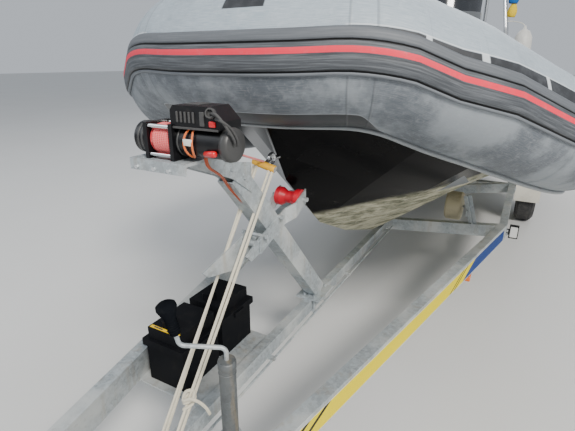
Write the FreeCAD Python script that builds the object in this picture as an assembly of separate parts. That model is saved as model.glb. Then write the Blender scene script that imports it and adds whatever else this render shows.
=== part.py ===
import FreeCAD, Part
import math
import os

# Rigid inflatable boat with an outboard engine, on its galvanised road trailer.
# Millimetres. +X is port, +Y is aft, +Z is up, the ground is Z = 0.
# The origin is the middle of the outfit's footprint, on the ground.

V = FreeCAD.Vector
UP = V(0, 0, 1)
AFT = V(0, 1, 0)
PORT = V(1, 0, 0)

# Overall
overall_length = 8369.2
nose_y = -overall_length / 2
rest_clearance = 0.3

# Trailer frame
rail_height = 100.0
rail_width = 50.0
rail_wall = 4.0
rail_top_z = 480.0
rail_front_y = nose_y + 300.0
rail_bend_y = nose_y + 3850.0
rail_rear_y = nose_y + 7270.0
rail_front_half_gap = 22.0
rail_rear_half_gap = 745.0
beam_height = 60.0
beam_width = 40.0
beam_top_z = 400.0
cross_height = 80.0
cross_width = 50.0
cross_wall = 4.0
front_cross_y = nose_y + 3820.0
middle_cross_y = nose_y + 5000.0
rear_cross_y = nose_y + 7100.0

# Coupling and its damper housing
ball_socket_radius = 25.0
coupling_length = 210.0
damper_radius = 32.0
damper_length = 330.0
bellows_length = 110.0

# Axle and wheels
axle_y = nose_y + 5570.0
tyre_radius = 298.0
tyre_width = 167.0
rim_radius = 165.0
wheel_gap = 28.0
wheel_x = rail_rear_half_gap + rail_width + wheel_gap + tyre_width / 2
axle_tube = 80.0
axle_tube_ahead = 150.0
hub_radius = 62.0
stub_radius = 20.0
mudguard_gap = 45.0
mudguard_width = 210.0
mudguard_wall = 3.0

# Jockey wheel
jockey_x = 190.0
jockey_y = nose_y + 1590.0
jockey_top_z = 728.0
jockey_outer_radius = 24.0
jockey_wall = 3.0
jockey_outer_length = 340.0
jockey_wheel_radius = 100.0
jockey_wheel_width = 65.0
jockey_trail = 38.0
jockey_stroke_down = 60.0
jockey_stroke_up = 120.0

# Winch post, arm and bow roller
post_foot_y = nose_y + 2570.0
post_top_y = nose_y + 1900.0
post_top_z = 1165.0
post_depth = 80.0
post_width = 60.0
bow_roller_y = nose_y + 2298.0
bow_roller_z = 975.0
bow_roller_radius = 38.0
bow_roller_waist = 25.0
bow_roller_length = 108.0
roller_pin_radius = 8.0
arm_wall = 6.0

# Electric winch
winch_y = nose_y + 1650.0
winch_z = 1310.0
winch_left_x = -86.0
winch_drum_half = 34.0
winch_right_x = 206.0
winch_radius = 42.0
drum_shaft_radius = 12.0

# Battery boxes
battery_width = 190.0
battery_length = 215.0
battery_height = 225.0
battery_lid_height = 75.0
battery_x = -195.0
battery_floor_z = rail_top_z - rail_height
battery_front_y = nose_y + 1715.0
battery_step = 222.0

# Boat, measured aft of the nose of the trailer
tube_radius = 216.0
tube_level_z = 1010.0
tube_side_x = 870.0
tube_end_y = nose_y + 7250.0
cone_length = 480.0
cone_end_radius = 60.0
deck_z = 840.0
transom_y = nose_y + 7380.0
transom_height = 510.0
transom_wall = 45.0
keel_z = 402.0
chine_x = 715.0
chine_z = 690.0
cockpit_front_y = nose_y + 3150.0
cockpit_half_width = 560.0

# Console, seat and arch
console_y = nose_y + 4540.0
console_half_width = 340.0
console_length = 600.0
console_top_z = 1860.0
screen_height = 400.0
screen_wall = 8.0
helm_radius = 175.0
seat_y = nose_y + 5620.0
seat_length = 480.0
seat_half_width = 300.0
seat_height = 520.0
arch_y = nose_y + 6820.0
arch_top_z = 2300.0
arch_knee_drop = 440.0
arch_brace_drop = 440.0
arch_foot_x = 510.0
arch_knee_x = 400.0
arch_top_x = 320.0
arch_tube_radius = 20.0
arch_brace_radius = 15.0
stainless_rail_radius = 12.5

# Outboard engine
engine_rest_tilt = 40.0
tilt_axis_y = transom_y + 30.0
tilt_axis_z = keel_z + transom_height + 40.0
prop_radius = 175.0
prop_shaft_radius = 10.0

# Rollers that carry the hull
keel_roller_radius = 36.0
keel_roller_length = 110.0
side_roller_x = 440.0
side_roller_radius = 100.0
side_roller_length = 110.0
side_roller_pin_radius = 9.0

# Axis of the inflated tube, port half
tube_axis_rows = [
    # half breadth, aft of nose, height, bend radius
    (0.0, 2085.0, 1512.0, 0.0),
    (110.0, 2085.0, 1512.0, 400.0),
    (345.0, 2158.0, 1520.0, 300.0),
    (560.0, 2310.0, 1420.0, 420.0),
    (1000.0, 2930.0, 1160.0, 1000.0),
    (tube_side_x, 4270.0, 1060.0, 1500.0),
    (tube_side_x, 5420.0, tube_level_z, 1500.0),
    (tube_side_x, tube_end_y - nose_y, tube_level_z, 0.0),
]
bow_rows = 4

# Section of the rubbing strake: angle above the tube's equator and height off its skin
strake_rows = [
    (18.5, 0.0), (16.5, 7.0), (12.0, 9.0), (9.7, 9.0), (9.4, 4.0), (8.4, 4.0), (8.1, 11.0), (4.8, 13.0),
    (-0.6, 13.0), (-1.2, 11.0), (-5.0, 13.0), (-10.4, 12.0), (-10.7, 4.0), (-11.8, 4.0), (-12.1, 9.0),
    (-14.0, 8.0), (-14.8, 0.0),
]

# Hull sections: keel, chine and top edge
hull_rows = [
    # aft of nose, keel height, chine half breadth, chine height, top half breadth, top height
    (2120.0, 1290.0, 15.0, 1300.0, 150.0, 1400.0),
    (2265.0, 1055.0, 45.0, 1140.0, 300.0, 1400.0),
    (2600.0, 766.0, 230.0, 980.0, 600.0, 1310.0),
    (2950.0, 604.0, 410.0, 890.0, 760.0, 1150.0),
    (3460.0, 430.0, 560.0, 830.0, 800.0, 1080.0),
    (4270.0, keel_z, chine_x - 25.0, chine_z + 50.0, 780.0, 960.0),
    (transom_y - nose_y, keel_z, chine_x, chine_z, 790.0, deck_z + 10.0),
]

nodes = {}


def box(x0, x1, y0, y1, z0, z1):
    return Part.makeBox(x1 - x0, y1 - y0, z1 - z0, V(x0, y0, z0))


def rod(start, end, radius):
    return Part.makeCylinder(radius, (end - start).Length, start, end - start)


def pipe(start, end, radius, wall):
    return rod(start, end, radius).cut(rod(start, end, radius - wall))


def beam(start, end, width, height, wall, side):
    """A rectangular tube from start to end, side is the direction of its width."""
    along = (end - start).normalize()
    top = side.cross(along)
    if top.z < 0:
        top = top * -1
    solids = []
    for grow in (0.0, wall):
        half_w = width / 2 - grow
        half_h = height / 2 - grow
        corners = [
            start + side * (sx * half_w) + top * (sz * half_h)
            for sx, sz in ((-1, -1), (1, -1), (1, 1), (-1, 1), (-1, -1))
        ]
        face = Part.Face(Part.makePolygon(corners))
        solids.append(face.extrude(end - start))
        if wall <= 0:
            return solids[0]
    return solids[0].cut(solids[1])


def plate(points, thickness):
    """A flat plate: its outline, extruded along its thickness vector."""
    return Part.Face(Part.makePolygon(points + [points[0]])).extrude(thickness)


def turned(profile, centre, axis, start_side):
    """A turned piece: profile rows are distance along the axis and radius."""
    points = [centre + axis * a + start_side * r for a, r in profile]
    points = [centre + axis * profile[0][0]] + points + [centre + axis * profile[-1][0]]
    face = Part.Face(Part.makePolygon(points + [points[0]]))
    return face.revolve(centre, axis, 360)


def fuse(solids):
    if len(solids) == 1:
        return solids[0]
    return solids[0].multiFuse(solids[1:]).removeSplitter()


def mirrored(shape):
    return shape.mirror(V(0, 0, 0), PORT)


def route(points, radii):
    """Straight runs joined by tangent arcs: a list of lines and arcs."""
    pieces = []
    here = points[0]
    for before, corner, after, radius in zip(points, points[1:], points[2:], radii[1:]):
        way_in = (corner - before).normalize()
        way_out = (after - corner).normalize()
        turn = way_in.getAngle(way_out)
        reach = radius * math.tan(turn / 2)
        arc_start = corner - way_in * reach
        arc_axis = way_in.cross(way_out).normalize()
        centre = arc_start + arc_axis.cross(way_in) * radius
        pieces.append(("line", here, arc_start))
        pieces.append(("arc", centre, arc_axis, math.degrees(turn)))
        here = corner + way_out * reach
    pieces.append(("line", here, points[-1]))
    return pieces


def swept(face, pieces):
    """The solid that a face sweeps along a route, and the face at its end."""
    solids = []
    for piece in pieces:
        if piece[0] == "line":
            step = piece[2] - piece[1]
            solids.append(face.extrude(step))
            face = face.translated(step)
        else:
            solids.append(face.revolve(piece[1], piece[2], piece[3]))
            face = face.rotated(piece[1], piece[2], piece[3])
    return fuse(solids), face


def upright_sweep(wire, points, radii):
    """A closed outline swept along a route with its plane kept upright."""
    edges = []
    for piece in route(points, radii):
        if piece[0] == "line":
            edges.append(Part.makeLine(piece[1], piece[2]))
        else:
            here = edges[-1].lastVertex().Point
            turns = [Part.Vertex(here).rotated(piece[1], piece[2], piece[3] * k).Point for k in (0.5, 1.0)]
            edges.append(Part.Arc(here, turns[0], turns[1]).toShape())
    sweep = Part.BRepOffsetAPI.MakePipeShell(Part.Wire(edges))
    sweep.setBiNormalMode(UP)
    sweep.add(wire, False, False)
    sweep.build()
    sweep.makeSolid()
    return sweep.shape()


def disc(centre, normal, radius):
    return Part.Face(Part.Wire(Part.makeCircle(radius, centre, normal)))


def rail_half_gap(y):
    """Half the gap between the two side rails, at their inner faces."""
    if y > rail_bend_y:
        return rail_rear_half_gap
    share = (y - rail_front_y) / (rail_bend_y - rail_front_y)
    return rail_front_half_gap + share * (rail_rear_half_gap - rail_front_half_gap)


# Side rails: rectangular tubes, bent where the drawbar opens out to full width
def rail_outline(inset):
    inner = [(rail_half_gap(y) + inset, y) for y in (rail_front_y, rail_bend_y, rail_rear_y)]
    outer = [(x + rail_width - 2 * inset, y) for x, y in inner]
    ends = inner + outer[::-1]
    points = [V(x, y, rail_top_z - rail_height + inset) for x, y in ends]
    return plate(points, V(0, 0, rail_height - 2 * inset))


rail = rail_outline(0.0).cut(rail_outline(rail_wall))
nodes["rail_port"] = rail
nodes["rail_starboard"] = mirrored(rail)

# Centre beam between the rails, from the coupling to the front cross member
beam_front_y = rail_front_y + 60.0
beam_rear_y = front_cross_y - cross_width / 2
beam_axis_z = beam_top_z - beam_height / 2
nodes["centre_beam"] = beam(
    V(0, beam_front_y, beam_axis_z), V(0, beam_rear_y, beam_axis_z), beam_width, beam_height, rail_wall, PORT
)


# Cross members: shallow V tubes, low in the middle to clear the keel
def cross_solid(y, middle_drop, inset=0.0):
    reach = rail_half_gap(y)
    side_z = rail_top_z - cross_height / 2
    middle_z = side_z - middle_drop
    half = cross_height / 2
    top = [V(0, y, middle_z + half - inset), V(reach, y, side_z + half - inset)]
    low = [V(reach, y, side_z - half + inset), V(0, y, middle_z - half + inset)]
    face = plate(top + low, V(0, cross_width - 2 * inset, 0))
    face.translate(V(0, inset - cross_width / 2, 0))
    return fuse([face, mirrored(face)])


def cross_member(y, middle_drop):
    return cross_solid(y, middle_drop).cut(cross_solid(y, middle_drop, cross_wall))


cross_drop = rail_top_z - beam_top_z
cross_places = (
    # place along the trailer, drop at the middle
    (front_cross_y, cross_drop),
    (middle_cross_y, cross_drop + 40.0),
    (rear_cross_y, cross_drop + 40.0),
)
rail_block = rail_outline(0.0)
cross_members = [
    cross_member(y, drop).cut(rail_block).cut(mirrored(rail_block)) for y, drop in cross_places
]
nodes["cross_members"] = Part.makeCompound(cross_members)

# Coupling head, bellows and damper housing
damper_axis_z = rail_top_z + damper_radius + 12.0
coupling_rear_y = nose_y + coupling_length
head = turned(
    [(0.0, 30.0), (60.0, 44.0), (110.0, 40.0), (coupling_length, 26.0)],
    V(0, nose_y, damper_axis_z),
    AFT,
    UP,
)
socket_low = V(0, nose_y + 55.0, damper_axis_z - 60.0)
socket = rod(socket_low, socket_low + UP * 55.0, ball_socket_radius)
grip = beam(
    V(0, nose_y + 30.0, damper_axis_z + 55.0), V(0, nose_y + 190.0, damper_axis_z + 85.0), 34.0, 20.0, 0.0, PORT
)
neck = rod(V(0, nose_y + 50.0, damper_axis_z + 20.0), V(0, nose_y + 50.0, damper_axis_z + 60.0), 14.0)
skirt = rod(V(0, nose_y + 55.0, damper_axis_z - 46.0), V(0, nose_y + 55.0, damper_axis_z), 38.0)
nodes["coupling_head"] = fuse([head, skirt, neck, grip]).cut(socket)

bellows_y = coupling_rear_y
bellows_folds = 6
fold = bellows_length / bellows_folds
bellows_profile = []
for index in range(bellows_folds):
    bellows_profile.append((index * fold, 30.0))
    bellows_profile.append((index * fold + fold / 2, 42.0))
bellows_profile.append((bellows_length, 30.0))
nodes["coupling_bellows"] = turned(bellows_profile, V(0, bellows_y, damper_axis_z), AFT, UP)

housing_y = bellows_y + bellows_length
housing_front = V(0, housing_y, damper_axis_z)
housing = rod(housing_front, housing_front + AFT * damper_length, damper_radius + 8.0)
housing_plate = box(-75.0, 75.0, housing_y, housing_y + damper_length, rail_top_z, rail_top_z + 12.0)
housing_web = box(-12.0, 12.0, housing_y, housing_y + damper_length, rail_top_z + 6.0, damper_axis_z)
nodes["damper_housing"] = fuse([housing, housing_web, housing_plate])

lever_y = housing_y + damper_length - 60.0
lever_pin = rod(V(40.0, lever_y, damper_axis_z), V(62.0, lever_y, damper_axis_z), 12.0)
lever_foot = V(56.0, lever_y, damper_axis_z)
lever = beam(lever_foot, lever_foot + V(0, -290.0, 90.0), 12.0, 26.0, 0.0, PORT)
nodes["handbrake_lever"] = fuse([lever_pin, lever])

# Brake rod, under the port side of the centre beam
rod_x = beam_width / 2 + 26.0
brake_rod_z = beam_top_z - beam_height + 6.0
brake_rod = rod(V(rod_x, housing_y + damper_length, brake_rod_z), V(rod_x, beam_rear_y, brake_rod_z), 5.0)
clips = []
for share in (0.25, 0.5, 0.75, 0.97):
    y = beam_front_y + share * (beam_rear_y - beam_front_y)
    clips.append(box(beam_width / 2, rod_x + 7.0, y - 8.0, y + 8.0, brake_rod_z - 7.0, brake_rod_z + 7.0))
nodes["brake_rod"] = fuse([brake_rod] + clips)

# Axle: a square tube under the rails, with trailing arms and stub shafts
tube_y = axle_y - axle_tube_ahead
axle_top_z = rail_top_z - rail_height - 8.0
axle_axis_z = axle_top_z - axle_tube / 2
arm_x = rail_rear_half_gap + rail_width + 6.0
arm_thick = 18.0
axle_body = beam(V(-arm_x, tube_y, axle_axis_z), V(arm_x, tube_y, axle_axis_z), axle_tube, axle_tube, 5.0, AFT)
axle_solids = [axle_body]
for side in (-1, 1):
    pad = box(-45.0, 45.0, tube_y - 80.0, tube_y + 80.0, axle_top_z, axle_top_z + 8.0)
    pad.translate(V(side * (rail_rear_half_gap + rail_width / 2), 0, 0))
    arm = beam(
        V(side * (arm_x + arm_thick / 2), tube_y, axle_axis_z),
        V(side * (arm_x + arm_thick / 2), axle_y, tyre_radius),
        arm_thick, 70.0, 0.0, PORT,
    )
    stub_end = V(side * (wheel_x + 40.0), axle_y, tyre_radius)
    stub = rod(V(side * arm_x, axle_y, tyre_radius), stub_end, stub_radius)
    axle_solids += [pad, arm, stub]
nodes["axle"] = fuse(axle_solids)


# Road wheels: tyre, pressed steel rim with its hub
def road_wheel(side):
    centre = V(side * wheel_x, axle_y, tyre_radius)
    out = PORT * side
    half = tyre_width / 2
    outline = [(-half + 12.0, rim_radius), (-half, rim_radius + 25.0), (-half, tyre_radius - 40.0)]
    outline += [(-half + 22.0, tyre_radius - 8.0), (-half + 45.0, tyre_radius)]
    outline += [(-a, r) for a, r in reversed(outline)]
    rubber = turned(outline, centre, out, UP)
    bore = rod(centre - out * half, centre + out * half, rim_radius)
    tyre = rubber.cut(bore)
    rim_half = half - 16.0
    barrel = rod(centre - out * rim_half, centre + out * rim_half, rim_radius - rest_clearance)
    inner = rod(centre - out * rim_half, centre + out * rim_half, rim_radius - 9.0)
    face = turned([(18.0, rim_radius - 4.0), (28.0, rim_radius - 4.0)], centre, out, UP)
    hub = turned([(-38.0, hub_radius), (20.0, hub_radius), (52.0, hub_radius - 22.0)], centre, out, UP)
    shaft = rod(centre - out * 60.0, centre + out * 41.0, stub_radius + rest_clearance)
    holes = []
    for index in range(8):
        turn = math.radians(45.0 * index)
        spot = V(0, math.cos(turn), math.sin(turn)) * 112.0
        holes.append(rod(centre + spot, centre + spot + out * 60.0, 16.0))
    rim = fuse([barrel.cut(inner), face, hub]).cut(fuse(holes)).cut(shaft)
    return tyre, rim


for name, side in (("port", 1), ("starboard", -1)):
    tyre, rim = road_wheel(side)
    nodes["tyre_" + name] = tyre
    nodes["rim_" + name] = rim

# Mudguards: round pressed covers, with a stay to the rail
guard_radius = tyre_radius + mudguard_gap
mudguards = []
for side in (1, -1):
    middle = V(side * wheel_x, axle_y, tyre_radius)
    half = mudguard_width / 2
    outer = rod(middle - PORT * half, middle + PORT * half, guard_radius + mudguard_wall)
    inner = rod(middle - PORT * half, middle + PORT * half, guard_radius)
    low = box(-half - 1, half + 1, -guard_radius - 9, guard_radius + 9, -guard_radius - 9, -30.0)
    low.translate(middle)
    inner_x = side * (rail_rear_half_gap + rail_width)
    cover = outer.cut(inner).cut(low)
    near = box(0, 22.0, -50.0, 50.0, 0, 4.0)
    if side < 0:
        near = mirrored(near)
    near.translate(V(inner_x, axle_y, tyre_radius + guard_radius - 3.0))
    foot = box(0, 4.0, -50.0, 50.0, rail_top_z - 60.0, tyre_radius + guard_radius)
    if side < 0:
        foot = mirrored(foot)
    foot.translate(V(inner_x, axle_y, 0))
    mudguards.append(fuse([cover, near, foot]))
nodes["mudguards"] = Part.makeCompound(mudguards)

# Jockey wheel: clamp on the port rail, outer tube, inner tube with fork, wheel, crank
jockey_axis = V(jockey_x, jockey_y, 0)
outer_low_z = jockey_top_z - jockey_outer_length
outer = pipe(
    jockey_axis + UP * outer_low_z, jockey_axis + UP * jockey_top_z, jockey_outer_radius, jockey_wall
)
cap = rod(jockey_axis + UP * (jockey_top_z - 6.0), jockey_axis + UP * (jockey_top_z + 4.0), jockey_outer_radius)
nodes["jockey_outer_tube"] = fuse([outer, cap])
clamp_x = rail_half_gap(jockey_y)
clamp_low = rail_top_z - 90.0
collar = rod(jockey_axis + UP * clamp_low, jockey_axis + UP * (clamp_low + 80.0), jockey_outer_radius + 8.0)
bore = rod(jockey_axis + UP * clamp_low, jockey_axis + UP * (clamp_low + 80.0), jockey_outer_radius)
lug = box(jockey_x + 20.0, clamp_x + 12.0, jockey_y - 20.0, jockey_y + 20.0, clamp_low, clamp_low + 80.0)
nodes["jockey_clamp"] = fuse([collar, lug]).cut(bore).cut(rail_block)

inner_radius = jockey_outer_radius - jockey_wall - rest_clearance
fork_top_z = 2 * jockey_wheel_radius + 14.0
wheel_y = jockey_y + jockey_trail
kingpin_radius = 9.0
inner_low = jockey_axis + UP * (fork_top_z + rest_clearance)
inner_tube = rod(inner_low, jockey_axis + UP * (outer_low_z + 180.0), inner_radius)
kingpin_bore = rod(inner_low, jockey_axis + UP * (fork_top_z + 50.0), kingpin_radius + rest_clearance)
nodes["jockey_inner_tube"] = inner_tube.cut(kingpin_bore)
kingpin = rod(jockey_axis + UP * (fork_top_z - 6.0), jockey_axis + UP * (fork_top_z + 45.0), kingpin_radius)
crown = box(
    jockey_x - jockey_wheel_width / 2 - 8.0, jockey_x + jockey_wheel_width / 2 + 8.0,
    jockey_y - 25.0, wheel_y + 20.0, fork_top_z - 6.0, fork_top_z,
)
fork = [kingpin, crown]
for side in (-1, 1):
    inner_face = jockey_x + side * (jockey_wheel_width / 2 + 4.0)
    outer_face = jockey_x + side * (jockey_wheel_width / 2 + 8.0)
    low_x, high_x = min(inner_face, outer_face), max(inner_face, outer_face)
    cheek = plate(
        [
            V(low_x, jockey_y - 25.0, fork_top_z), V(low_x, wheel_y + 20.0, fork_top_z),
            V(low_x, wheel_y + 16.0, jockey_wheel_radius - 16.0),
            V(low_x, wheel_y - 16.0, jockey_wheel_radius - 16.0),
        ],
        V(high_x - low_x, 0, 0),
    )
    fork.append(cheek)
pin = rod(
    V(jockey_x - jockey_wheel_width / 2 - 12.0, wheel_y, jockey_wheel_radius),
    V(jockey_x + jockey_wheel_width / 2 + 12.0, wheel_y, jockey_wheel_radius),
    8.0,
)
nodes["jockey_fork"] = fuse(fork + [pin])
wheel_centre = V(jockey_x, wheel_y, jockey_wheel_radius)
half = jockey_wheel_width / 2
jockey_profile = [(-20.0, 55.0), (-half, 60.0), (-half, 82.0), (-half + 14.0, jockey_wheel_radius)]
jockey_profile += [(-a, r) for a, r in reversed(jockey_profile)]
hub = rod(wheel_centre - PORT * half, wheel_centre + PORT * half, 8.0 + rest_clearance)
nodes["jockey_wheel"] = turned(jockey_profile, wheel_centre, PORT, UP).cut(hub)

crank_points = [
    jockey_axis + UP * (jockey_top_z + 4.0),
    jockey_axis + UP * (jockey_top_z + 42.0),
    V(jockey_x - 108.0, jockey_y - 62.0, jockey_top_z + 52.0),
    V(jockey_x - 128.0, jockey_y - 73.0, jockey_top_z + 160.0),
]
crank_route = route(crank_points, [0.0, 18.0, 18.0, 0.0])
crank, end_face = swept(disc(crank_points[0], UP, 6.5), crank_route)
grip_low = crank_points[-1] - (crank_points[-1] - crank_points[-2]).normalize() * 70.0
grip_axis = (crank_points[-1] - crank_points[-2]).normalize()
grip_profile = [(0.0, 12.0), (45.0, 14.0), (78.0, 26.0), (86.0, 24.0)]
grip = turned(grip_profile, grip_low, grip_axis, grip_axis.cross(PORT).normalize())
nodes["jockey_crank"] = fuse([crank, grip])

# Winch post: inclined square tube on a foot plate, leaning forwards
post_foot = V(0, post_foot_y, beam_top_z + 10.0)
post_top = V(0, post_top_y, post_top_z)
post = beam(post_foot, post_top, post_width, post_depth, rail_wall, PORT)
post_block = beam(post_foot, post_top, post_width, post_depth, 0.0, PORT)
foot_plate = box(-62.0, 62.0, post_foot_y - 90.0, post_foot_y + 80.0, beam_top_z, beam_top_z + 10.0)
below = box(-99.0, 99.0, post_foot_y - 300.0, post_foot_y + 300.0, beam_top_z - 200.0, beam_top_z + 5.0)
post_solids = [post.cut(below), foot_plate]
for y in (post_foot_y - 70.0, post_foot_y + 60.0):
    for side in (-1, 1):
        x = side * (beam_width / 2 + 7.0)
        post_solids.append(rod(V(x, y, beam_top_z - beam_height - 16.0), V(x, y, beam_top_z + 22.0), 6.0))
    low = beam_top_z - beam_height - 6.0
    post_solids.append(rod(V(-beam_width / 2 - 7.0, y, low), V(beam_width / 2 + 7.0, y, low), 6.0))
nodes["winch_post"] = fuse(post_solids)

# Roller arm: two cranked plates that cross the post, with the bow roller between their ends
arm_in = post_width / 2
arm_out = bow_roller_length / 2 + 1.0
arm_knees = (nose_y + 2010.0, nose_y + 2195.0, nose_y + 2240.0, bow_roller_y + 24.0)
arm_heights = (872.0, 930.0, 946.0, bow_roller_z + 6.0)
arm_half_depth = 31.0


def arm_side(xs):
    """One arm: straight past the post, then stepping outwards to the roller's end."""
    solids = []
    for (y0, z0, x0), (y1, z1, x1) in zip(list(zip(arm_knees, arm_heights, xs))[:-1],
                                          list(zip(arm_knees, arm_heights, xs))[1:]):
        face = [
            V(x0, y0, z0 - arm_half_depth), V(x0, y0, z0 + arm_half_depth),
            V(x1, y1, z1 + arm_half_depth), V(x1, y1, z1 - arm_half_depth),
        ]
        solids.append(plate(face, V(arm_wall, 0, 0)))
    return fuse(solids)


arms = arm_side((arm_in, arm_in, arm_out, arm_out))
arms = [arms, mirrored(arms)]
gusset = plate(
    [
        V(-3.0, nose_y + a, z)
        for a, z in ((1733, 880), (1885, 912), (1990, 940), (2012, 850), (1925, 815), (1758, 856))
    ],
    V(arm_wall, 0, 0),
)
spacer = rod(V(-arm_in, nose_y + 1985.0, 892.0), V(arm_in, nose_y + 1985.0, 892.0), 12.0)
ear = plate(
    [V(arm_in - arm_wall, nose_y + a, z) for a, z in ((1930, 862), (2030, 905), (2030, 845), (1960, 832))],
    V(arm_wall, 0, 0),
)
roller_pin = rod(
    V(-arm_out - 16.0, bow_roller_y, bow_roller_z),
    V(arm_out + 16.0, bow_roller_y, bow_roller_z),
    roller_pin_radius,
)
bolts = []
for aft, z in ((2148.0, 943.0), (2032.0, 905.0)):
    bolts.append(rod(V(-arm_in - 16.0, nose_y + aft, z), V(arm_in + 16.0, nose_y + aft, z), 7.0))
nodes["roller_arm"] = fuse(arms + bolts + [roller_pin, gusset, spacer, ear, mirrored(ear)]).cut(post_block)
half = bow_roller_length / 2
roller_profile = [
    (-half, bow_roller_radius), (-half + 20.0, bow_roller_radius), (-12.0, bow_roller_waist),
    (12.0, bow_roller_waist), (half - 20.0, bow_roller_radius), (half, bow_roller_radius),
]
roller_centre = V(0, bow_roller_y, bow_roller_z)
roller_hole = rod(roller_centre - PORT * 99.0, roller_centre + PORT * 99.0, roller_pin_radius + rest_clearance)
nodes["bow_roller"] = turned(roller_profile, roller_centre, PORT, UP).cut(roller_hole)

# Winch: base plate on the post, gearbox, drum, motor and control box
winch_axis = V(0, winch_y, winch_z)
base_z = winch_z - winch_radius - 6.0
base = box(winch_left_x - 8.0, winch_drum_half + 60.0, winch_y - 58.0, winch_y + 62.0, base_z - 8.0, base_z)
lip = box(winch_left_x - 8.0, winch_drum_half + 60.0, winch_y - 58.0, winch_y - 52.0, base_z - 30.0, base_z)
brackets = [base, lip]
for side in (-1, 1):
    outline = [
        (post_top_y + 70.0, post_top_z - 80.0), (post_top_y - 36.0, post_top_z - 8.0),
        (winch_y - 30.0, base_z - 8.0), (winch_y + 62.0, base_z - 8.0), (post_top_y - 10.0, post_top_z + 40.0),
        (post_top_y + 66.0, post_top_z + 24.0),
    ]
    x = side * (post_width / 2 + 3.0) - 3.0
    brackets.append(plate([V(x, y, z) for y, z in outline], V(6.0, 0, 0)))
nodes["winch_base"] = fuse(brackets)
feet = []
for x in (-winch_drum_half - 14.0, winch_drum_half + 2.0):
    feet.append(box(x, x + 12.0, winch_y - 44.0, winch_y + 44.0, base_z, winch_z + winch_radius + 2.0))
gearbox = rod(V(winch_left_x, winch_y, winch_z), V(-winch_drum_half - 2.0, winch_y, winch_z), winch_radius)
motor = rod(V(winch_drum_half + 2.0, winch_y, winch_z), V(winch_right_x, winch_y, winch_z), winch_radius - 4.0)
drum_half = winch_drum_half - 1.0
drum_core = winch_radius - 9.0
flange_radius = winch_radius - 4.0
drum_profile = [(-drum_half, flange_radius), (-drum_half + 4.0, flange_radius), (-drum_half + 4.0, drum_core)]
drum_profile += [(-a, r) for a, r in reversed(drum_profile)]
shaft_half = PORT * (winch_drum_half + 8.0)
drum_shaft = rod(winch_axis - shaft_half, winch_axis + shaft_half, drum_shaft_radius)
drum_bore = rod(winch_axis - PORT * 99.0, winch_axis + PORT * 99.0, drum_shaft_radius + rest_clearance)
nodes["winch_drum"] = turned(drum_profile, winch_axis, PORT, UP).cut(drum_bore)
control_low = winch_z + winch_radius - 4.0
control_left = winch_drum_half + 6.0
control_right = winch_right_x - 16.0
control_outline = [
    (control_left, 0.0), (control_left, 40.0), (control_left + 10.0, 52.0), (control_right - 34.0, 52.0),
    (control_right, 18.0), (control_right, 0.0),
]
control = plate([V(x, winch_y - 36.0, control_low + z) for x, z in control_outline], V(0, 84.0, 0))
saddle = box(
    control_left + 12.0, control_right - 12.0, winch_y - 18.0, winch_y + 18.0, winch_z + 24.0, control_low + 4.0
)
nodes["winch_control_box"] = fuse([control, saddle]).cut(motor).cut(feet[1])
tie_rods = []
for y in (winch_y - 37.0, winch_y + 37.0):
    for z in (winch_z + 36.0, winch_z - 36.0):
        tie_rods.append(rod(V(-winch_drum_half - 14.0, y, z), V(winch_drum_half + 14.0, y, z), 4.5))
nodes["winch_body"] = fuse([gearbox, motor, drum_shaft] + feet + tie_rods)

# Battery tray and two battery boxes, between the starboard rail and the centre beam
tray_low = battery_floor_z - 6.0
tray_y1 = battery_front_y + 2 * battery_step
tray = plate(
    [
        V(-beam_width / 2, battery_front_y - 20.0, tray_low),
        V(-rail_half_gap(battery_front_y - 20.0), battery_front_y - 20.0, tray_low),
        V(-rail_half_gap(tray_y1), tray_y1, tray_low), V(-beam_width / 2, tray_y1, tray_low),
    ],
    V(0, 0, 6.0 - rest_clearance),
)
nodes["battery_tray"] = tray
batteries = []
for index in range(2):
    y0 = battery_front_y + index * battery_step
    x0 = battery_x - battery_width / 2
    lid_z = battery_floor_z + battery_height - battery_lid_height
    top_z = battery_floor_z + battery_height
    x1, y1 = x0 + battery_width, y0 + battery_length
    body = box(x0 + 10.0, x1 - 10.0, y0 + 10.0, y1 - 10.0, battery_floor_z, lid_z)
    rim = box(x0, x0 + battery_width, y0, y0 + battery_length, lid_z, lid_z + 28.0)
    ridge = box(x0 + 22.0, x1 - 22.0, y0 + 12.0, y1 - 12.0, lid_z + 28.0, top_z)
    handle_y = y0 + battery_length / 2
    knob = rod(V(battery_x - 10.0, y0 + 60.0, top_z - 4.0), V(battery_x - 10.0, y0 + 60.0, top_z + 26.0), 28.0)
    ears = box(x0 - 9.0, x0 + battery_width + 9.0, handle_y - 30.0, handle_y + 30.0, lid_z + 4.0, lid_z + 20.0)
    lid = fuse([rim, ridge, knob, ears])
    batteries.append(fuse([body, lid]))
nodes["battery_boxes"] = Part.makeCompound(batteries)

# Boat: inflated tube, its section kept upright all the way round
tube_points = [V(x, nose_y + a, z) for x, a, z, r in tube_axis_rows]
tube_radii = [r for x, a, z, r in tube_axis_rows]
tube_end = V(tube_side_x, tube_end_y, tube_level_z)
tube_ring = Part.Wire(Part.makeCircle(tube_radius, tube_points[0], PORT))
half_tube = upright_sweep(tube_ring, tube_points, tube_radii)
seam_y = (tube_points[bow_rows].y + tube_points[bow_rows - 1].y) / 2 - 60.0
fore = box(-10.0, 1500.0, nose_y, seam_y, 0.0, 2500.0)
bow_half = half_tube.common(fore)
side_tube = half_tube.cut(fore)
nodes["tube_bow"] = fuse([bow_half, mirrored(bow_half)])
nodes["tube_port"] = side_tube
nodes["tube_starboard"] = mirrored(side_tube)
cone = Part.makeCone(tube_radius, cone_end_radius, cone_length, tube_end + AFT * rest_clearance, AFT)
nodes["tube_cones"] = Part.makeCompound([cone, mirrored(cone)])


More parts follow.
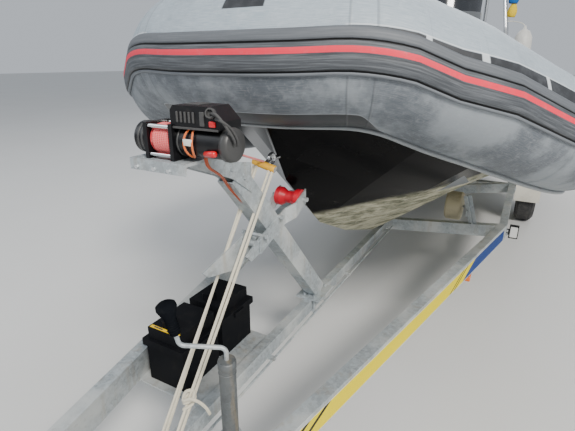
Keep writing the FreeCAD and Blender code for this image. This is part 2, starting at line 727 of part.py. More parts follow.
# Rubbing strake round the outside of the tube
def strake_wire():
    centre = tube_points[0]

    def spot(angle, off):
        turn = math.radians(angle)
        return centre + V(0, -math.cos(turn), math.sin(turn)) * (tube_radius + off)

    outer = Part.makePolygon([spot(angle, off) for angle, off in strake_rows])
    back = Part.Arc(spot(*strake_rows[-1]), spot(0.0, 0.0), spot(*strake_rows[0])).toShape()
    return Part.Wire(outer.Edges + [back])


half_strake = upright_sweep(strake_wire(), tube_points, tube_radii)
nodes["strake"] = fuse([half_strake, mirrored(half_strake)])

# Hull: hard-chine deep V, closed by its deck, set into the tube
hull_wires = []
for aft, keel, low_x, low_z, top_x, top_z in hull_rows:
    y = nose_y + aft
    side = [V(low_x, y, low_z), V(top_x, y, top_z)]
    other = [V(-p.x, p.y, p.z) for p in reversed(side)]
    hull_wires.append(Part.makePolygon([V(0, y, keel)] + side + other + [V(0, y, keel)]))
hull = Part.makeLoft(hull_wires, True, True)
transom_top = keel_z + transom_height
cockpit = box(
    -cockpit_half_width, cockpit_half_width, cockpit_front_y, transom_y - transom_wall, deck_z, deck_z + 900.0
)
transom = box(
    -cockpit_half_width, cockpit_half_width, transom_y - transom_wall, transom_y, deck_z - 10.0, transom_top
)
hull = fuse([hull.cut(cockpit), transom])
seat_points = tube_points[:-1] + [V(tube_side_x, transom_y + 60.0, tube_level_z)]
hull_seat = upright_sweep(tube_ring, seat_points, tube_radii)
nodes["hull"] = hull.cut(hull_seat).cut(mirrored(hull_seat))


def hull_bottom(aft, x):
    """Height of the hull's bottom at a distance aft of the nose and off the keel."""
    for before, after in zip(hull_rows, hull_rows[1:]):
        if before[0] <= aft <= after[0]:
            share = (aft - before[0]) / (after[0] - before[0])
            keel, low_x, low_z = [a + (b - a) * share for a, b in zip(before[1:4], after[1:4])]
            return keel + (low_z - keel) * abs(x) / low_x


# Keel rollers, in brackets on the aft faces of the cross members
keel_rollers = []
keel_brackets = []
for y, drop in cross_places:
    face_y = y + cross_width / 2
    pin_y = face_y + keel_roller_radius + 14.0
    pin_z = hull_bottom(pin_y - nose_y, 0.0) - keel_roller_radius - 4.0
    centre = V(0, pin_y, pin_z)
    half = keel_roller_length / 2
    flare, waist = keel_roller_radius + 4.0, keel_roller_radius - 6.0
    profile = [(-half, flare), (0.0, waist), (half, flare)]
    hole = rod(centre - PORT * 99.0, centre + PORT * 99.0, 8.0 + rest_clearance)
    keel_rollers.append(turned(profile, centre, PORT, UP).cut(hole))
    bracket = [rod(centre - PORT * (half + 12.0), centre + PORT * (half + 12.0), 8.0)]
    bracket.append(box(-half - 6.0, half + 6.0, face_y, face_y + 5.0, pin_z - 40.0, pin_z - 10.0))
    for x in (half + 1.0, -half - 6.0):
        bracket.append(box(x, x + 5.0, face_y, pin_y + 14.0, pin_z - 18.0, pin_z + 18.0))
    keel_brackets.append(fuse(bracket))
nodes["keel_rollers"] = Part.makeCompound(keel_rollers)
nodes["keel_brackets"] = Part.makeCompound(keel_brackets)

# Side rollers under the fore hull, just aft of the front cross member, each on its strut
side_rollers = []
side_struts = []
roller_y = front_cross_y + cross_width / 2 + side_roller_radius + 6.0
for side in (1, -1):
    half = side_roller_length / 2
    top_z = hull_bottom(roller_y - nose_y, side_roller_x - half)
    centre = V(side * side_roller_x, roller_y, top_z - side_roller_radius - 1.0)
    hole = rod(centre - PORT * 99.0, centre + PORT * 99.0, side_roller_pin_radius + rest_clearance)
    wheel = turned(
        [(-half, side_roller_radius - 12.0), (-half + 12.0, side_roller_radius), (half - 12.0, side_roller_radius),
         (half, side_roller_radius - 12.0)], centre, PORT, UP)
    side_rollers.append(wheel.cut(hole))
    post_x = side_roller_x + half + 34.0
    strut = beam(
        V(side * (post_x + 60.0), front_cross_y, rail_top_z - 30.0),
        V(side * post_x, front_cross_y, centre.z + 120.0), 8.0, 50.0, 0.0, PORT)
    web = beam(
        V(side * (post_x + 60.0), front_cross_y, rail_top_z - 30.0),
        V(side * post_x, front_cross_y, centre.z + 120.0), 8.0, 50.0, 0.0, AFT)
    reach = box(-4.0, 4.0, front_cross_y - 25.0, roller_y + 22.0, centre.z - 22.0, centre.z + 22.0)
    reach.translate(V(side * (side_roller_x + half + 44.0), 0, 0))
    pin = rod(centre - PORT * side * (half + 8.0), centre + PORT * side * (half + 52.0), side_roller_pin_radius)
    side_struts.append(fuse([strut, web, reach, pin]).cut(cross_solid(front_cross_y, cross_drop)))
nodes["side_rollers"] = Part.makeCompound(side_rollers)
nodes["side_struts"] = Part.makeCompound(side_struts)

# Lamps: front position lamps outboard of the rails, and a bar with two rear lamps
front_lamp = box(rail_rear_half_gap + rail_width + 16.0, rail_rear_half_gap + rail_width + 72.0,
                 rail_bend_y + 20.0, rail_bend_y + 46.0, rail_top_z - 98.0, rail_top_z - 8.0)
front_foot = box(rail_rear_half_gap + rail_width, rail_rear_half_gap + rail_width + 20.0,
                 rail_bend_y + 30.0, rail_bend_y + 40.0, rail_top_z - 80.0, rail_top_z - 40.0)
lamp_bar_z = keel_z - 82.0
rear_lamp = box(640.0, 860.0, rail_rear_y + 58.0, rail_rear_y + 108.0, lamp_bar_z - 20.0, lamp_bar_z + 70.0)
port_lamp = fuse([front_lamp, front_foot])
nodes["lamps"] = Part.makeCompound([port_lamp, mirrored(port_lamp), rear_lamp, mirrored(rear_lamp)])
lamp_bar = box(-900.0, 900.0, rail_rear_y + 40.0, rail_rear_y + 58.0, lamp_bar_z, lamp_bar_z + 50.0)
rail_low_z = rail_top_z - rail_height
hanger_foot = box(rail_rear_half_gap + 8.0, rail_rear_half_gap + 42.0, rail_rear_y - 110.0, rail_rear_y + 40.0,
                  rail_low_z - 8.0, rail_low_z)
hanger_drop = box(rail_rear_half_gap + 8.0, rail_rear_half_gap + 42.0, rail_rear_y + 30.0, rail_rear_y + 40.0,
                  lamp_bar_z, rail_low_z)
bar_arm = fuse([hanger_foot, hanger_drop])
nodes["lamp_bar"] = fuse([lamp_bar, bar_arm, mirrored(bar_arm)])

# Console with a rounded front, its wrap-round windscreen and grab rail
def front_arc(inset, z):
    """Round front of the console, from side to side, drawn in by an inset."""
    half = console_half_width - inset
    shoulder = console_y + 240.0
    points = [V(-half, shoulder, z), V(0, console_y + inset, z), V(half, shoulder, z)]
    return Part.Arc(points[0], points[1], points[2]).toShape(), points


def console_outline(z):
    arc, points = front_arc(0.0, z)
    back = console_y + console_length
    sides = Part.makePolygon([points[2], V(points[2].x, back, z), V(points[0].x, back, z), points[0]])
    return Part.Face(Part.Wire([arc] + sides.Edges))


dash_front = (console_y + 300.0, console_top_z)
dash_rear = (console_y + console_length, console_top_z - 300.0)
console = console_outline(deck_z).extrude(V(0, 0, console_top_z - deck_z))
dash_cut = plate(
    [V(-900.0, *dash_front), V(-900.0, dash_rear[0] + 9.0, dash_rear[1] - 9.0), V(-900.0, dash_rear[0] + 9.0, console_top_z + 9.0),
     V(-900.0, dash_front[0], console_top_z + 9.0)],
    V(1800.0, 0, 0),
)
nodes["console"] = console.cut(dash_cut)
outer_arc, outer_points = front_arc(0.0, console_top_z)
inner_arc, inner_points = front_arc(screen_wall, console_top_z)
screen_ends = [Part.makeLine(outer_points[k], inner_points[k]) for k in (0, 2)]
screen_wire = Part.Wire(Part.__sortEdges__([outer_arc, inner_arc] + screen_ends))
nodes["windscreen"] = Part.Face(screen_wire).extrude(V(0, screen_height * 0.22, screen_height))

rail_x = console_half_width + 2.0 * stainless_rail_radius
rail_y = console_y + 352.0
grab_points = [
    V(rail_x, rail_y, 1250.0), V(rail_x, rail_y, console_top_z + screen_height + 30.0),
    V(-rail_x, rail_y, console_top_z + screen_height + 30.0), V(-rail_x, rail_y, 1250.0),
]
grab_route = route(grab_points, [0.0, 90.0, 90.0, 0.0])
grab, end_face = swept(disc(grab_points[0], UP, stainless_rail_radius), grab_route)
stays = []
for side in (-1, 1):
    for z in (1290.0, console_top_z - 160.0):
        stays.append(rod(V(side * console_half_width, rail_y, z), V(side * rail_x, rail_y, z), 8.0))
nodes["grab_rail"] = fuse([grab] + stays)

# Helm seat: plinth, cushion and backrest
plinth = box(-seat_half_width + 20.0, seat_half_width - 20.0, seat_y + 20.0, seat_y + seat_length - 20.0,
             deck_z, deck_z + seat_height - 90.0)
cushion_z = deck_z + seat_height
cushion = box(-seat_half_width, seat_half_width, seat_y, seat_y + seat_length, cushion_z - 90.0, cushion_z)
backrest = box(-seat_half_width, seat_half_width, seat_y + seat_length - 70.0, seat_y + seat_length,
               deck_z + seat_height, deck_z + seat_height + 260.0)
nodes["seat"] = fuse([plinth, cushion, backrest])

# Stern arch: two hoops of stainless tube, joined at the top, with an upright pole
arch_knee_z = arch_top_z - arch_knee_drop
arch_brace_z = arch_knee_z - arch_brace_drop
arch_lean = (arch_foot_x - arch_knee_x) / (arch_knee_z - deck_z)
arch_brace_x = arch_foot_x - arch_lean * (arch_brace_z - deck_z)
arches = []
for lean in (-1, 1):
    y = arch_y + lean * 100.0
    top_y = arch_y + lean * 35.0
    foot, knee = V(arch_foot_x, y, deck_z), V(arch_knee_x, y, arch_knee_z)
    sunk_foot = foot + (foot - knee).normalize() * 30.0
    points = [sunk_foot, knee, V(arch_top_x, top_y, arch_top_z)]
    points += [V(-q.x, q.y, q.z) for q in reversed(points)]
    way = route(points, [0.0, 200.0, 100.0, 100.0, 200.0, 0.0])
    arches.append(swept(disc(points[0], points[1] - points[0], arch_tube_radius), way)[0])
    for side in (-1, 1):
        flange_low = V(side * arch_foot_x, y, deck_z)
        arches.append(rod(flange_low, flange_low + UP * 8.0, 46.0))
for side in (-1, 1):
    brace_mid = V(side * arch_brace_x, arch_y, arch_brace_z)
    arches.append(rod(brace_mid - AFT * 92.0, brace_mid + AFT * 92.0, arch_brace_radius))
    bridge_mid = V(side * 200.0, arch_y, arch_top_z)
    arches.append(rod(bridge_mid - AFT * 27.0, bridge_mid + AFT * 27.0, arch_brace_radius))
pole_y = arch_y - 35.0
pole = rod(V(150.0, pole_y, deck_z), V(150.0, pole_y, arch_top_z), stainless_rail_radius)
under_deck = box(-900.0, 900.0, arch_y - 300.0, arch_y + 300.0, deck_z - 200.0, deck_z)
nodes["arch"] = fuse(arches + [pole]).cut(under_deck)

# Bow eye, the winch hook on it, the winch rope and the mooring ropes down to the beam
eye_centre = V(0, nose_y + 2155.0, 1160.0)
stem_y = nose_y + 2212.0
bow_eye = fuse([
    Part.makeTorus(20.0, 6.0, eye_centre, PORT),
    rod(eye_centre + AFT * 20.0, V(0, stem_y, 1160.0), 8.0),
]).cut(nodes["hull"])
hook_bar = rod(V(-46.0, nose_y + 2104.0, 1158.0), V(46.0, nose_y + 2104.0, 1136.0), 11.0)
hook_body = rod(V(0, nose_y + 2104.0, 1147.0), eye_centre - AFT * 8.0, 9.0)
nodes["bow_hook"] = fuse([bow_eye, hook_bar, hook_body])
rope_start = V(0, winch_y + drum_core + 4.0 + rest_clearance, winch_z)
nodes["winch_rope"] = rod(rope_start, V(0, nose_y + 2100.0, 1161.0), 4.0).cut(nodes["bow_hook"])
rope_radius = 5.0
beam_grip_y = nose_y + 1528.0
half_grip = beam_width / 2 + rope_radius + rest_clearance
mooring = []
strand_rows = [
    (38.0, half_grip, 0.0), (24.0, half_grip, -26.0), (-38.0, -half_grip, 0.0), (-26.0, -half_grip, -26.0),
]
for top_x, low_x, aft in strand_rows:
    top = V(top_x, nose_y + 2104.0, 1147.0 - top_x * 0.24)
    mooring.append(rod(top, V(low_x, beam_grip_y + aft, beam_top_z - 10.0), rope_radius))
grip_out = half_grip + rope_radius
for k in range(3):
    y = beam_grip_y - 31.0 + 13.0 * k
    low_z = beam_top_z - beam_height
    turn = box(-grip_out, grip_out, y, y + 9.0, low_z - 9.3, beam_top_z + 9.3)
    inner = box(-beam_width / 2 - 0.3, beam_width / 2 + 0.3, y, y + 9.0, low_z - 0.3, beam_top_z + 0.3)
    mooring.append(turn.cut(inner))
mooring_rope = fuse(mooring).cut(nodes["bow_hook"]).cut(nodes["roller_arm"]).cut(nodes["winch_post"])
nodes["mooring_rope"] = mooring_rope.cut(rod(
    V(rod_x, housing_y + damper_length, brake_rod_z), V(rod_x, beam_rear_y, brake_rod_z), 5.0 + rest_clearance))

# Outboard engine, drawn hanging straight down, then tilted up about its tilt tube
tilt_axis = V(0, tilt_axis_y, tilt_axis_z)


def tilted(shape):
    return shape.rotated(tilt_axis, PORT, engine_rest_tilt)


bracket_cheeks = []
for side in (-1, 1):
    cheek = plate(
        [
            V(0, transom_y - 60.0, transom_top + 4.0), V(0, tilt_axis_y + 40.0, transom_top + 60.0),
            V(0, transom_y + 90.0, transom_top - 300.0), V(0, transom_y, transom_top - 300.0),
            V(0, transom_y, transom_top),  V(0, transom_y - 60.0, transom_top),
        ],
        V(16.0, 0, 0),
    )
    cheek.translate(V(side * 100.0 - 8.0, 0, 0))
    bracket_cheeks.append(cheek)
tilt_tube = rod(tilt_axis - PORT * 130.0, tilt_axis + PORT * 130.0, 14.0)
nodes["clamp_bracket"] = fuse(bracket_cheeks + [tilt_tube])

steer_y = transom_y + 150.0
swivel = rod(V(0, steer_y, tilt_axis_z - 260.0), V(0, steer_y, tilt_axis_z + 20.0), 46.0)
swivel_eye = rod(tilt_axis - PORT * 85.0, tilt_axis + PORT * 85.0, 34.0)
swivel_web = box(-60.0, 60.0, tilt_axis_y, steer_y, tilt_axis_z - 30.0, tilt_axis_z + 20.0)
tilt_bore = rod(tilt_axis - PORT * 99.0, tilt_axis + PORT * 99.0, 14.0 + rest_clearance)
steer_bore = rod(V(0, steer_y, tilt_axis_z - 300.0), V(0, steer_y, tilt_axis_z + 60.0), 22.0 + rest_clearance)
nodes["swivel_bracket"] = tilted(fuse([swivel, swivel_eye, swivel_web]).cut(tilt_bore).cut(steer_bore))

pivot = rod(V(0, steer_y, tilt_axis_z - 300.0), V(0, steer_y, tilt_axis_z + 50.0), 22.0)
yoke_top = box(-90.0, 90.0, steer_y - 40.0, steer_y + 150.0, tilt_axis_z + 26.0, tilt_axis_z + 60.0)
yoke_low = box(-70.0, 70.0, steer_y - 35.0, steer_y + 120.0, tilt_axis_z - 300.0, tilt_axis_z - 266.0)
leg_outline = [(30.0, 62.0), (52.0, 110.0), (46.0, 190.0), (18.0, 246.0)]
leg_outline += [(-x, y) for x, y in reversed(leg_outline)]
leg = plate([V(x, steer_y + y, keel_z - 20.0) for x, y in leg_outline], V(0, 0, tilt_axis_z + 80.0 - keel_z))
plate_z = keel_z - 20.0
vent_outline = [(24.0, 20.0), (62.0, 90.0), (100.0, 250.0), (92.0, 360.0), (30.0, 390.0)]
vent_outline += [(-x, y) for x, y in reversed(vent_outline)]
vent_plate = plate([V(x, steer_y + y, plate_z - 7.0) for x, y in vent_outline], V(0, 0, 7.0))
gearcase_y = steer_y + 20.0
gearcase_length = 320.0
shaft_z = plate_z - prop_radius - 20.0
gearcase = turned(
    [(0.0, 8.0), (20.0, 26.0), (70.0, 44.0), (150.0, 52.0), (240.0, 50.0), (gearcase_length, 41.0)],
    V(0, gearcase_y, shaft_z), AFT, UP
)
strut_outline = [(7.0, 40.0), (25.0, 110.0), (22.0, 190.0), (5.0, 270.0)]
strut_outline += [(-x, y) for x, y in reversed(strut_outline)]
strut = plate([V(x, gearcase_y + y, shaft_z) for x, y in strut_outline], V(0, 0, plate_z - shaft_z))
skeg = plate(
    [
        V(-6.0, gearcase_y + 70.0, shaft_z - 30.0), V(-6.0, gearcase_y + 270.0, shaft_z - 30.0),
        V(-6.0, gearcase_y + 305.0, shaft_z - 150.0), V(-6.0, gearcase_y + 290.0, shaft_z - 175.0),
        V(-6.0, gearcase_y + 240.0, shaft_z - 175.0),
    ],
    V(12.0, 0, 0),
)
prop_y = gearcase_y + gearcase_length + 2.0
hub_length = 96.0
prop_shaft = rod(V(0, prop_y - 20.0, shaft_z), V(0, prop_y + hub_length + 14.0, shaft_z), prop_shaft_radius)
nodes["engine_midsection"] = tilted(fuse([pivot, yoke_top, yoke_low, leg]))
nodes["engine_gearcase"] = tilted(fuse([vent_plate, gearcase, strut, skeg, prop_shaft]))
cowl_z = tilt_axis_z + 60.0
cowl_low = Part.makePolygon([V(x, y, cowl_z) for x, y in (
    (-150.0, steer_y - 150.0), (150.0, steer_y - 150.0), (190.0, steer_y + 150.0), (130.0, steer_y + 380.0),
    (-130.0, steer_y + 380.0), (-190.0, steer_y + 150.0), (-150.0, steer_y - 150.0))])
cowl_high = Part.makePolygon([V(x * 0.8, y, cowl_z + 520.0 - (y - steer_y) * 0.2) for x, y in (
    (-150.0, steer_y - 110.0), (150.0, steer_y - 110.0), (190.0, steer_y + 130.0), (130.0, steer_y + 330.0),
    (-130.0, steer_y + 330.0), (-190.0, steer_y + 130.0), (-150.0, steer_y - 110.0))])
nodes["engine_cowl"] = tilted(Part.makeLoft([cowl_low, cowl_high], True, True))

prop_hub = turned(
    [(0.0, 40.0), (hub_length - 10.0, 40.0), (hub_length, 30.0)], V(0, prop_y, shaft_z), AFT, UP
)
bore_end = V(0, prop_y + hub_length + 5.0, shaft_z)
prop_bore = rod(V(0, prop_y - 5.0, shaft_z), bore_end, prop_shaft_radius + rest_clearance)
blades = [prop_hub]
blade_rows = [
    (20.0, 25.0), (70.0, 25.0), (86.0, 90.0), (78.0, 148.0), (50.0, prop_radius), (22.0, 148.0), (10.0, 90.0),
]
for index in range(3):
    blade = plate([V(-4.0, prop_y + y, r) for y, r in blade_rows], V(8.0, 0, 0))
    blade.rotate(V(0, prop_y + 45.0, 0), UP, 30.0)
    blade.translate(V(0, 0, shaft_z))
    blade.rotate(V(0, prop_y, shaft_z), AFT, 120.0 * index)
    blades.append(blade)
nodes["propeller"] = tilted(fuse(blades).cut(prop_bore))

# Helm wheel, square to the sloping dash
helm_axis = V(0, 1, 1).normalize()
helm_reach = 60.0
dash_middle = V(0, (dash_front[0] + dash_rear[0]) / 2, (dash_front[1] + dash_rear[1]) / 2)
helm_centre = dash_middle + helm_axis * (helm_reach + rest_clearance)
helm_solids = [
    Part.makeTorus(helm_radius, 13.0, helm_centre, helm_axis),
    rod(helm_centre - helm_axis * helm_reach, helm_centre + helm_axis * 12.0, 34.0),
]
for index in range(3):
    spoke = rod(helm_centre, helm_centre + PORT * (helm_radius - 4.0), 8.0)
    helm_solids.append(spoke.rotated(helm_centre, helm_axis, 90.0 + 120.0 * index))
nodes["helm_wheel"] = fuse(helm_solids)

os.makedirs("parts", exist_ok=True)
for name, shape in nodes.items():
    if len(shape.Solids) == 0 or not shape.isValid():
        print("check", name, len(shape.Solids), shape.isValid())
    shape.exportStep("parts/" + name + ".step")
print(len(nodes), "nodes")
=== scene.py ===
import math

import bmesh
import bpy
from mathutils import Matrix, Vector


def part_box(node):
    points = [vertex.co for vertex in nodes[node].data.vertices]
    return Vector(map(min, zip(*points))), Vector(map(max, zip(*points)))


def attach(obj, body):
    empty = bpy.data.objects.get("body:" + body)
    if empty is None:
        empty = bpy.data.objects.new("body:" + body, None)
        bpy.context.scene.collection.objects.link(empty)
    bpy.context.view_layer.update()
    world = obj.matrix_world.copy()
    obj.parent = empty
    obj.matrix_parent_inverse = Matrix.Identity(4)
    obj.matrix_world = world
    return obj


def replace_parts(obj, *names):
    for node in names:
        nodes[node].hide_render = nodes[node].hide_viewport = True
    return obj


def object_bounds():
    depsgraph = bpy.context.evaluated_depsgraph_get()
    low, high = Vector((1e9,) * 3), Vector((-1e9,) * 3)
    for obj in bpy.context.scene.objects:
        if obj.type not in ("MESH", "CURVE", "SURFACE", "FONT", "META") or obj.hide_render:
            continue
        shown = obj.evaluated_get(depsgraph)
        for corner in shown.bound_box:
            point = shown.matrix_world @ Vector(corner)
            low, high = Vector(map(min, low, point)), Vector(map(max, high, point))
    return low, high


bl_info = {
    "name": "Rib boat on its trailer",
    "version": (1, 0, 0),
    "blender": (4, 5, 0),
    "location": "View3D > Sidebar > Boat",
    "description": "Finishes and soft trim of a rigid inflatable boat on a galvanised trailer",
    "category": "Object",
}

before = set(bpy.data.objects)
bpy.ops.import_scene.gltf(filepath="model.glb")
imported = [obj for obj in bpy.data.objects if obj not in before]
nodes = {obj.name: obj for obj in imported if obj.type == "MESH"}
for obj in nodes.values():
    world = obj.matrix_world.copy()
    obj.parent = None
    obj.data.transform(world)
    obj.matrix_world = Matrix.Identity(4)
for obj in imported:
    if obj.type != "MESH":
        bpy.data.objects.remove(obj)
cad_low, cad_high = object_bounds()
nose_y = cad_low.y
root_body = "boat_and_trailer"

# Axis of the inflated tube: half breadth, aft of the nose, height, bend radius (metres)
tube_axis = [
    (0.0, 2.085, 1.512, 0.0),
    (0.110, 2.085, 1.512, 0.400),
    (0.345, 2.158, 1.520, 0.300),
    (0.560, 2.310, 1.420, 0.420),
    (1.000, 2.930, 1.160, 1.000),
    (0.870, 4.270, 1.060, 1.500),
    (0.870, 5.420, 1.010, 1.500),
    (0.870, 7.250, 1.010, 0.0),
]

# Port rail: where its straight run starts and bends, its width, and the height of the boat's deck (metres)
rail_front_aft, rail_front_x = 0.300, 0.022
rail_bend_aft, rail_bend_x = 3.850, 0.745
rail_width = 0.050
deck_z = 0.840

# Rubbing strake: angle above the tube's equator, height off its skin (metres)
strake_section = [
    (18.5, 0.0005), (17.6, 0.0055), (16.4, 0.0075), (14.0, 0.0090), (11.5, 0.0092), (9.9, 0.0090),
    (9.6, 0.0045), (9.1, 0.0038), (8.5, 0.0045), (8.2, 0.0105), (7.6, 0.0118), (6.4, 0.0125),
    (5.4, 0.0130), (3.0, 0.0132), (0.8, 0.0132), (-0.3, 0.0128), (-0.8, 0.0112), (-1.4, 0.0126),
    (-4.0, 0.0130), (-8.0, 0.0127),
    (-10.3, 0.0120), (-10.6, 0.0045), (-11.2, 0.0038), (-11.7, 0.0045), (-12.0, 0.0088), (-13.2, 0.0086),
    (-14.2, 0.0070), (-14.8, 0.0005),
]


# sizes and colours a user may change
class BoatSizes(bpy.types.PropertyGroup):
    tube_radius: bpy.props.FloatProperty(
        name="Tube radius", description="Radius of the inflated tube", default=0.216, min=0.1, unit="LENGTH")
    rope_radius: bpy.props.FloatProperty(
        name="Rope radius", description="Radius of the cream tie-down rope", default=0.005, min=0.001,
        unit="LENGTH")
    bolt_size: bpy.props.FloatProperty(
        name="Bolt head", description="Width of a bolt head on the trailer", default=0.019, min=0.004,
        unit="LENGTH")
    tread_blocks: bpy.props.IntProperty(
        name="Tread blocks", description="Blocks round each tyre", default=64, min=12)


class BoatColours(bpy.types.PropertyGroup):
    tube_top: bpy.props.FloatVectorProperty(
        name="Tube, weathered", description="Sun-bleached coated fabric", subtype="COLOR", size=3,
        default=(0.275, 0.335, 0.385))
    tube_low: bpy.props.FloatVectorProperty(
        name="Tube, below", description="Coated fabric under the strake", subtype="COLOR", size=3,
        default=(0.082, 0.097, 0.115))
    stripe: bpy.props.FloatVectorProperty(
        name="Stripe", description="Red line on the rubbing strake", subtype="COLOR", size=3,
        default=(0.80, 0.022, 0.060))
    zinc: bpy.props.FloatVectorProperty(
        name="Zinc", description="Hot-dip galvanised steel", subtype="COLOR", size=3,
        default=(0.40, 0.44, 0.46))
    tape: bpy.props.FloatVectorProperty(
        name="Tape", description="Yellow marking tape on the rails", subtype="COLOR", size=3,
        default=(0.74, 0.60, 0.0))


# materials
class Value:
    """A node's output that takes part in sums and products."""

    def __init__(self, graph, socket):
        self.graph = graph
        self.socket = socket

    def _join(self, operation, first, second):
        return self.graph.node("ShaderNodeMath", {"operation": operation}, {0: first, 1: second})

    def __add__(self, other):
        return self._join("ADD", self, other)

    def __radd__(self, other):
        return self._join("ADD", other, self)

    def __sub__(self, other):
        return self._join("SUBTRACT", self, other)

    def __rsub__(self, other):
        return self._join("SUBTRACT", other, self)

    def __mul__(self, other):
        return self._join("MULTIPLY", self, other)

    def __abs__(self):
        return self._join("ABSOLUTE", self, 0.0)


class Graph:
    """A node tree under construction."""

    def __init__(self, tree):
        self.tree = tree

    def node(self, kind, settings=None, sockets=None, output=0):
        """Any node, from its type, its settings and the values or links of its sockets."""
        made = self.tree.nodes.new(kind)
        for key, value in (settings or {}).items():
            setattr(made, key, value)
        for key, value in (sockets or {}).items():
            if isinstance(value, Value):
                self.tree.links.new(value.socket, made.inputs[key])
            else:
                made.inputs[key].default_value = value
        return Value(self, made.outputs[output]) if made.outputs else None

    def three(self, value):
        """The first three outputs of the node that value comes from."""
        return [Value(self, value.socket.node.outputs[k]) for k in range(3)]


class Shader(Graph):
    """A material under construction."""

    def __init__(self, name):
        self.material = bpy.data.materials.new(name)
        self.material.use_nodes = True
        super().__init__(self.material.node_tree)
        self.tree.nodes.clear()

    def place(self):
        return self.node("ShaderNodeTexCoord", output=3)

    def uv(self):
        return self.node("ShaderNodeUVMap", {"uv_map": "surface"})

    def axes(self, vector):
        return self.three(self.node("ShaderNodeSeparateXYZ", {}, {0: vector}))

    def stretched(self, vector, scale):
        return self.node("ShaderNodeMapping", {}, {"Vector": vector, "Scale": scale})

    def noise(self, vector, scale, detail=4.0, rough=0.55):
        sockets = {"Vector": vector, "Scale": scale, "Detail": detail, "Roughness": rough}
        return self.node("ShaderNodeTexNoise", {}, sockets)

    def cells(self, vector, scale):
        colour = self.node("ShaderNodeTexVoronoi", {}, {"Vector": vector, "Scale": scale}, output=1)
        return self.axes(colour)[0]

    def sine(self, value):
        return self.node("ShaderNodeMath", {"operation": "SINE"}, {0: value})

    def step(self, value, low, high):
        """0 below low, 1 above high, smooth between them."""
        return self.node(
            "ShaderNodeMapRange", {"interpolation_type": "SMOOTHSTEP"},
            {"Value": value, "From Min": low, "From Max": high, "To Min": 0.0, "To Max": 1.0})

    def band(self, value, low, high, soft):
        """1 between low and high, fading to 0 over soft on each side."""
        return self.step(value, low - soft, low + soft) * (1 - self.step(value, high - soft, high + soft))

    def mix(self, mask, first, second):
        first, second = (c if isinstance(c, Value) else (*c, 1.0) for c in (first, second))
        return self.node("ShaderNodeMix", {"data_type": "RGBA"}, {0: mask, 6: first, 7: second}, output=2)

    def finish(self, colour, roughness, metallic=0.0, height=None, depth=0.001, coat=0.0, alpha=None,
               sheen=0.0, shine=0.5):
        """The finished material; height and depth make its bump, shine is its specular level."""
        sockets = {
            "Base Color": colour, "Roughness": roughness, "Metallic": metallic, "Coat Weight": coat,
            "Coat Roughness": 0.08, "Specular IOR Level": shine,
        }
        if sheen:
            sockets["Sheen Weight"] = sheen
        if height is not None:
            bump = {"Strength": 0.6, "Distance": depth, "Height": height}
            sockets["Normal"] = self.node("ShaderNodeBump", {}, bump)
        if alpha is not None:
            sockets["Alpha"] = alpha
        surface = self.node("ShaderNodeBsdfPrincipled", {}, sockets)
        self.node("ShaderNodeOutputMaterial", {}, {"Surface": surface})
        return self.material


def galvanised(name="galvanised", stain=0.35, tone=1.0):
    s = Shader(name)
    zinc = tuple(c * tone for c in bpy.context.scene.boat_colours.zinc)
    place = s.place()
    spangle = s.cells(place, 70.0) * 0.5 + s.cells(place, 160.0) * 0.3
    cloud = s.noise(place, 5.0, 6.0)
    run = s.noise(s.stretched(place, (22.0, 22.0, 3.0)), 1.0, 5.0)
    light = s.mix(spangle, tuple(c * 0.72 for c in zinc), tuple(min(1.0, c * 1.28) for c in zinc))
    dull = s.mix(s.step(cloud, 0.42, 0.68), light, tuple(c * tone for c in (0.56, 0.58, 0.57)))
    stained = s.mix(s.step(run, 0.52, 0.74) * stain, dull, (0.33, 0.26, 0.15))
    dirt = s.mix(s.step(s.noise(place, 60.0, 3.0), 0.58, 0.80) * 0.35, stained, (0.20, 0.18, 0.15))
    return s.finish(dirt, 0.42 + cloud * 0.28, 0.45, spangle * 0.4 + cloud, 0.0006)


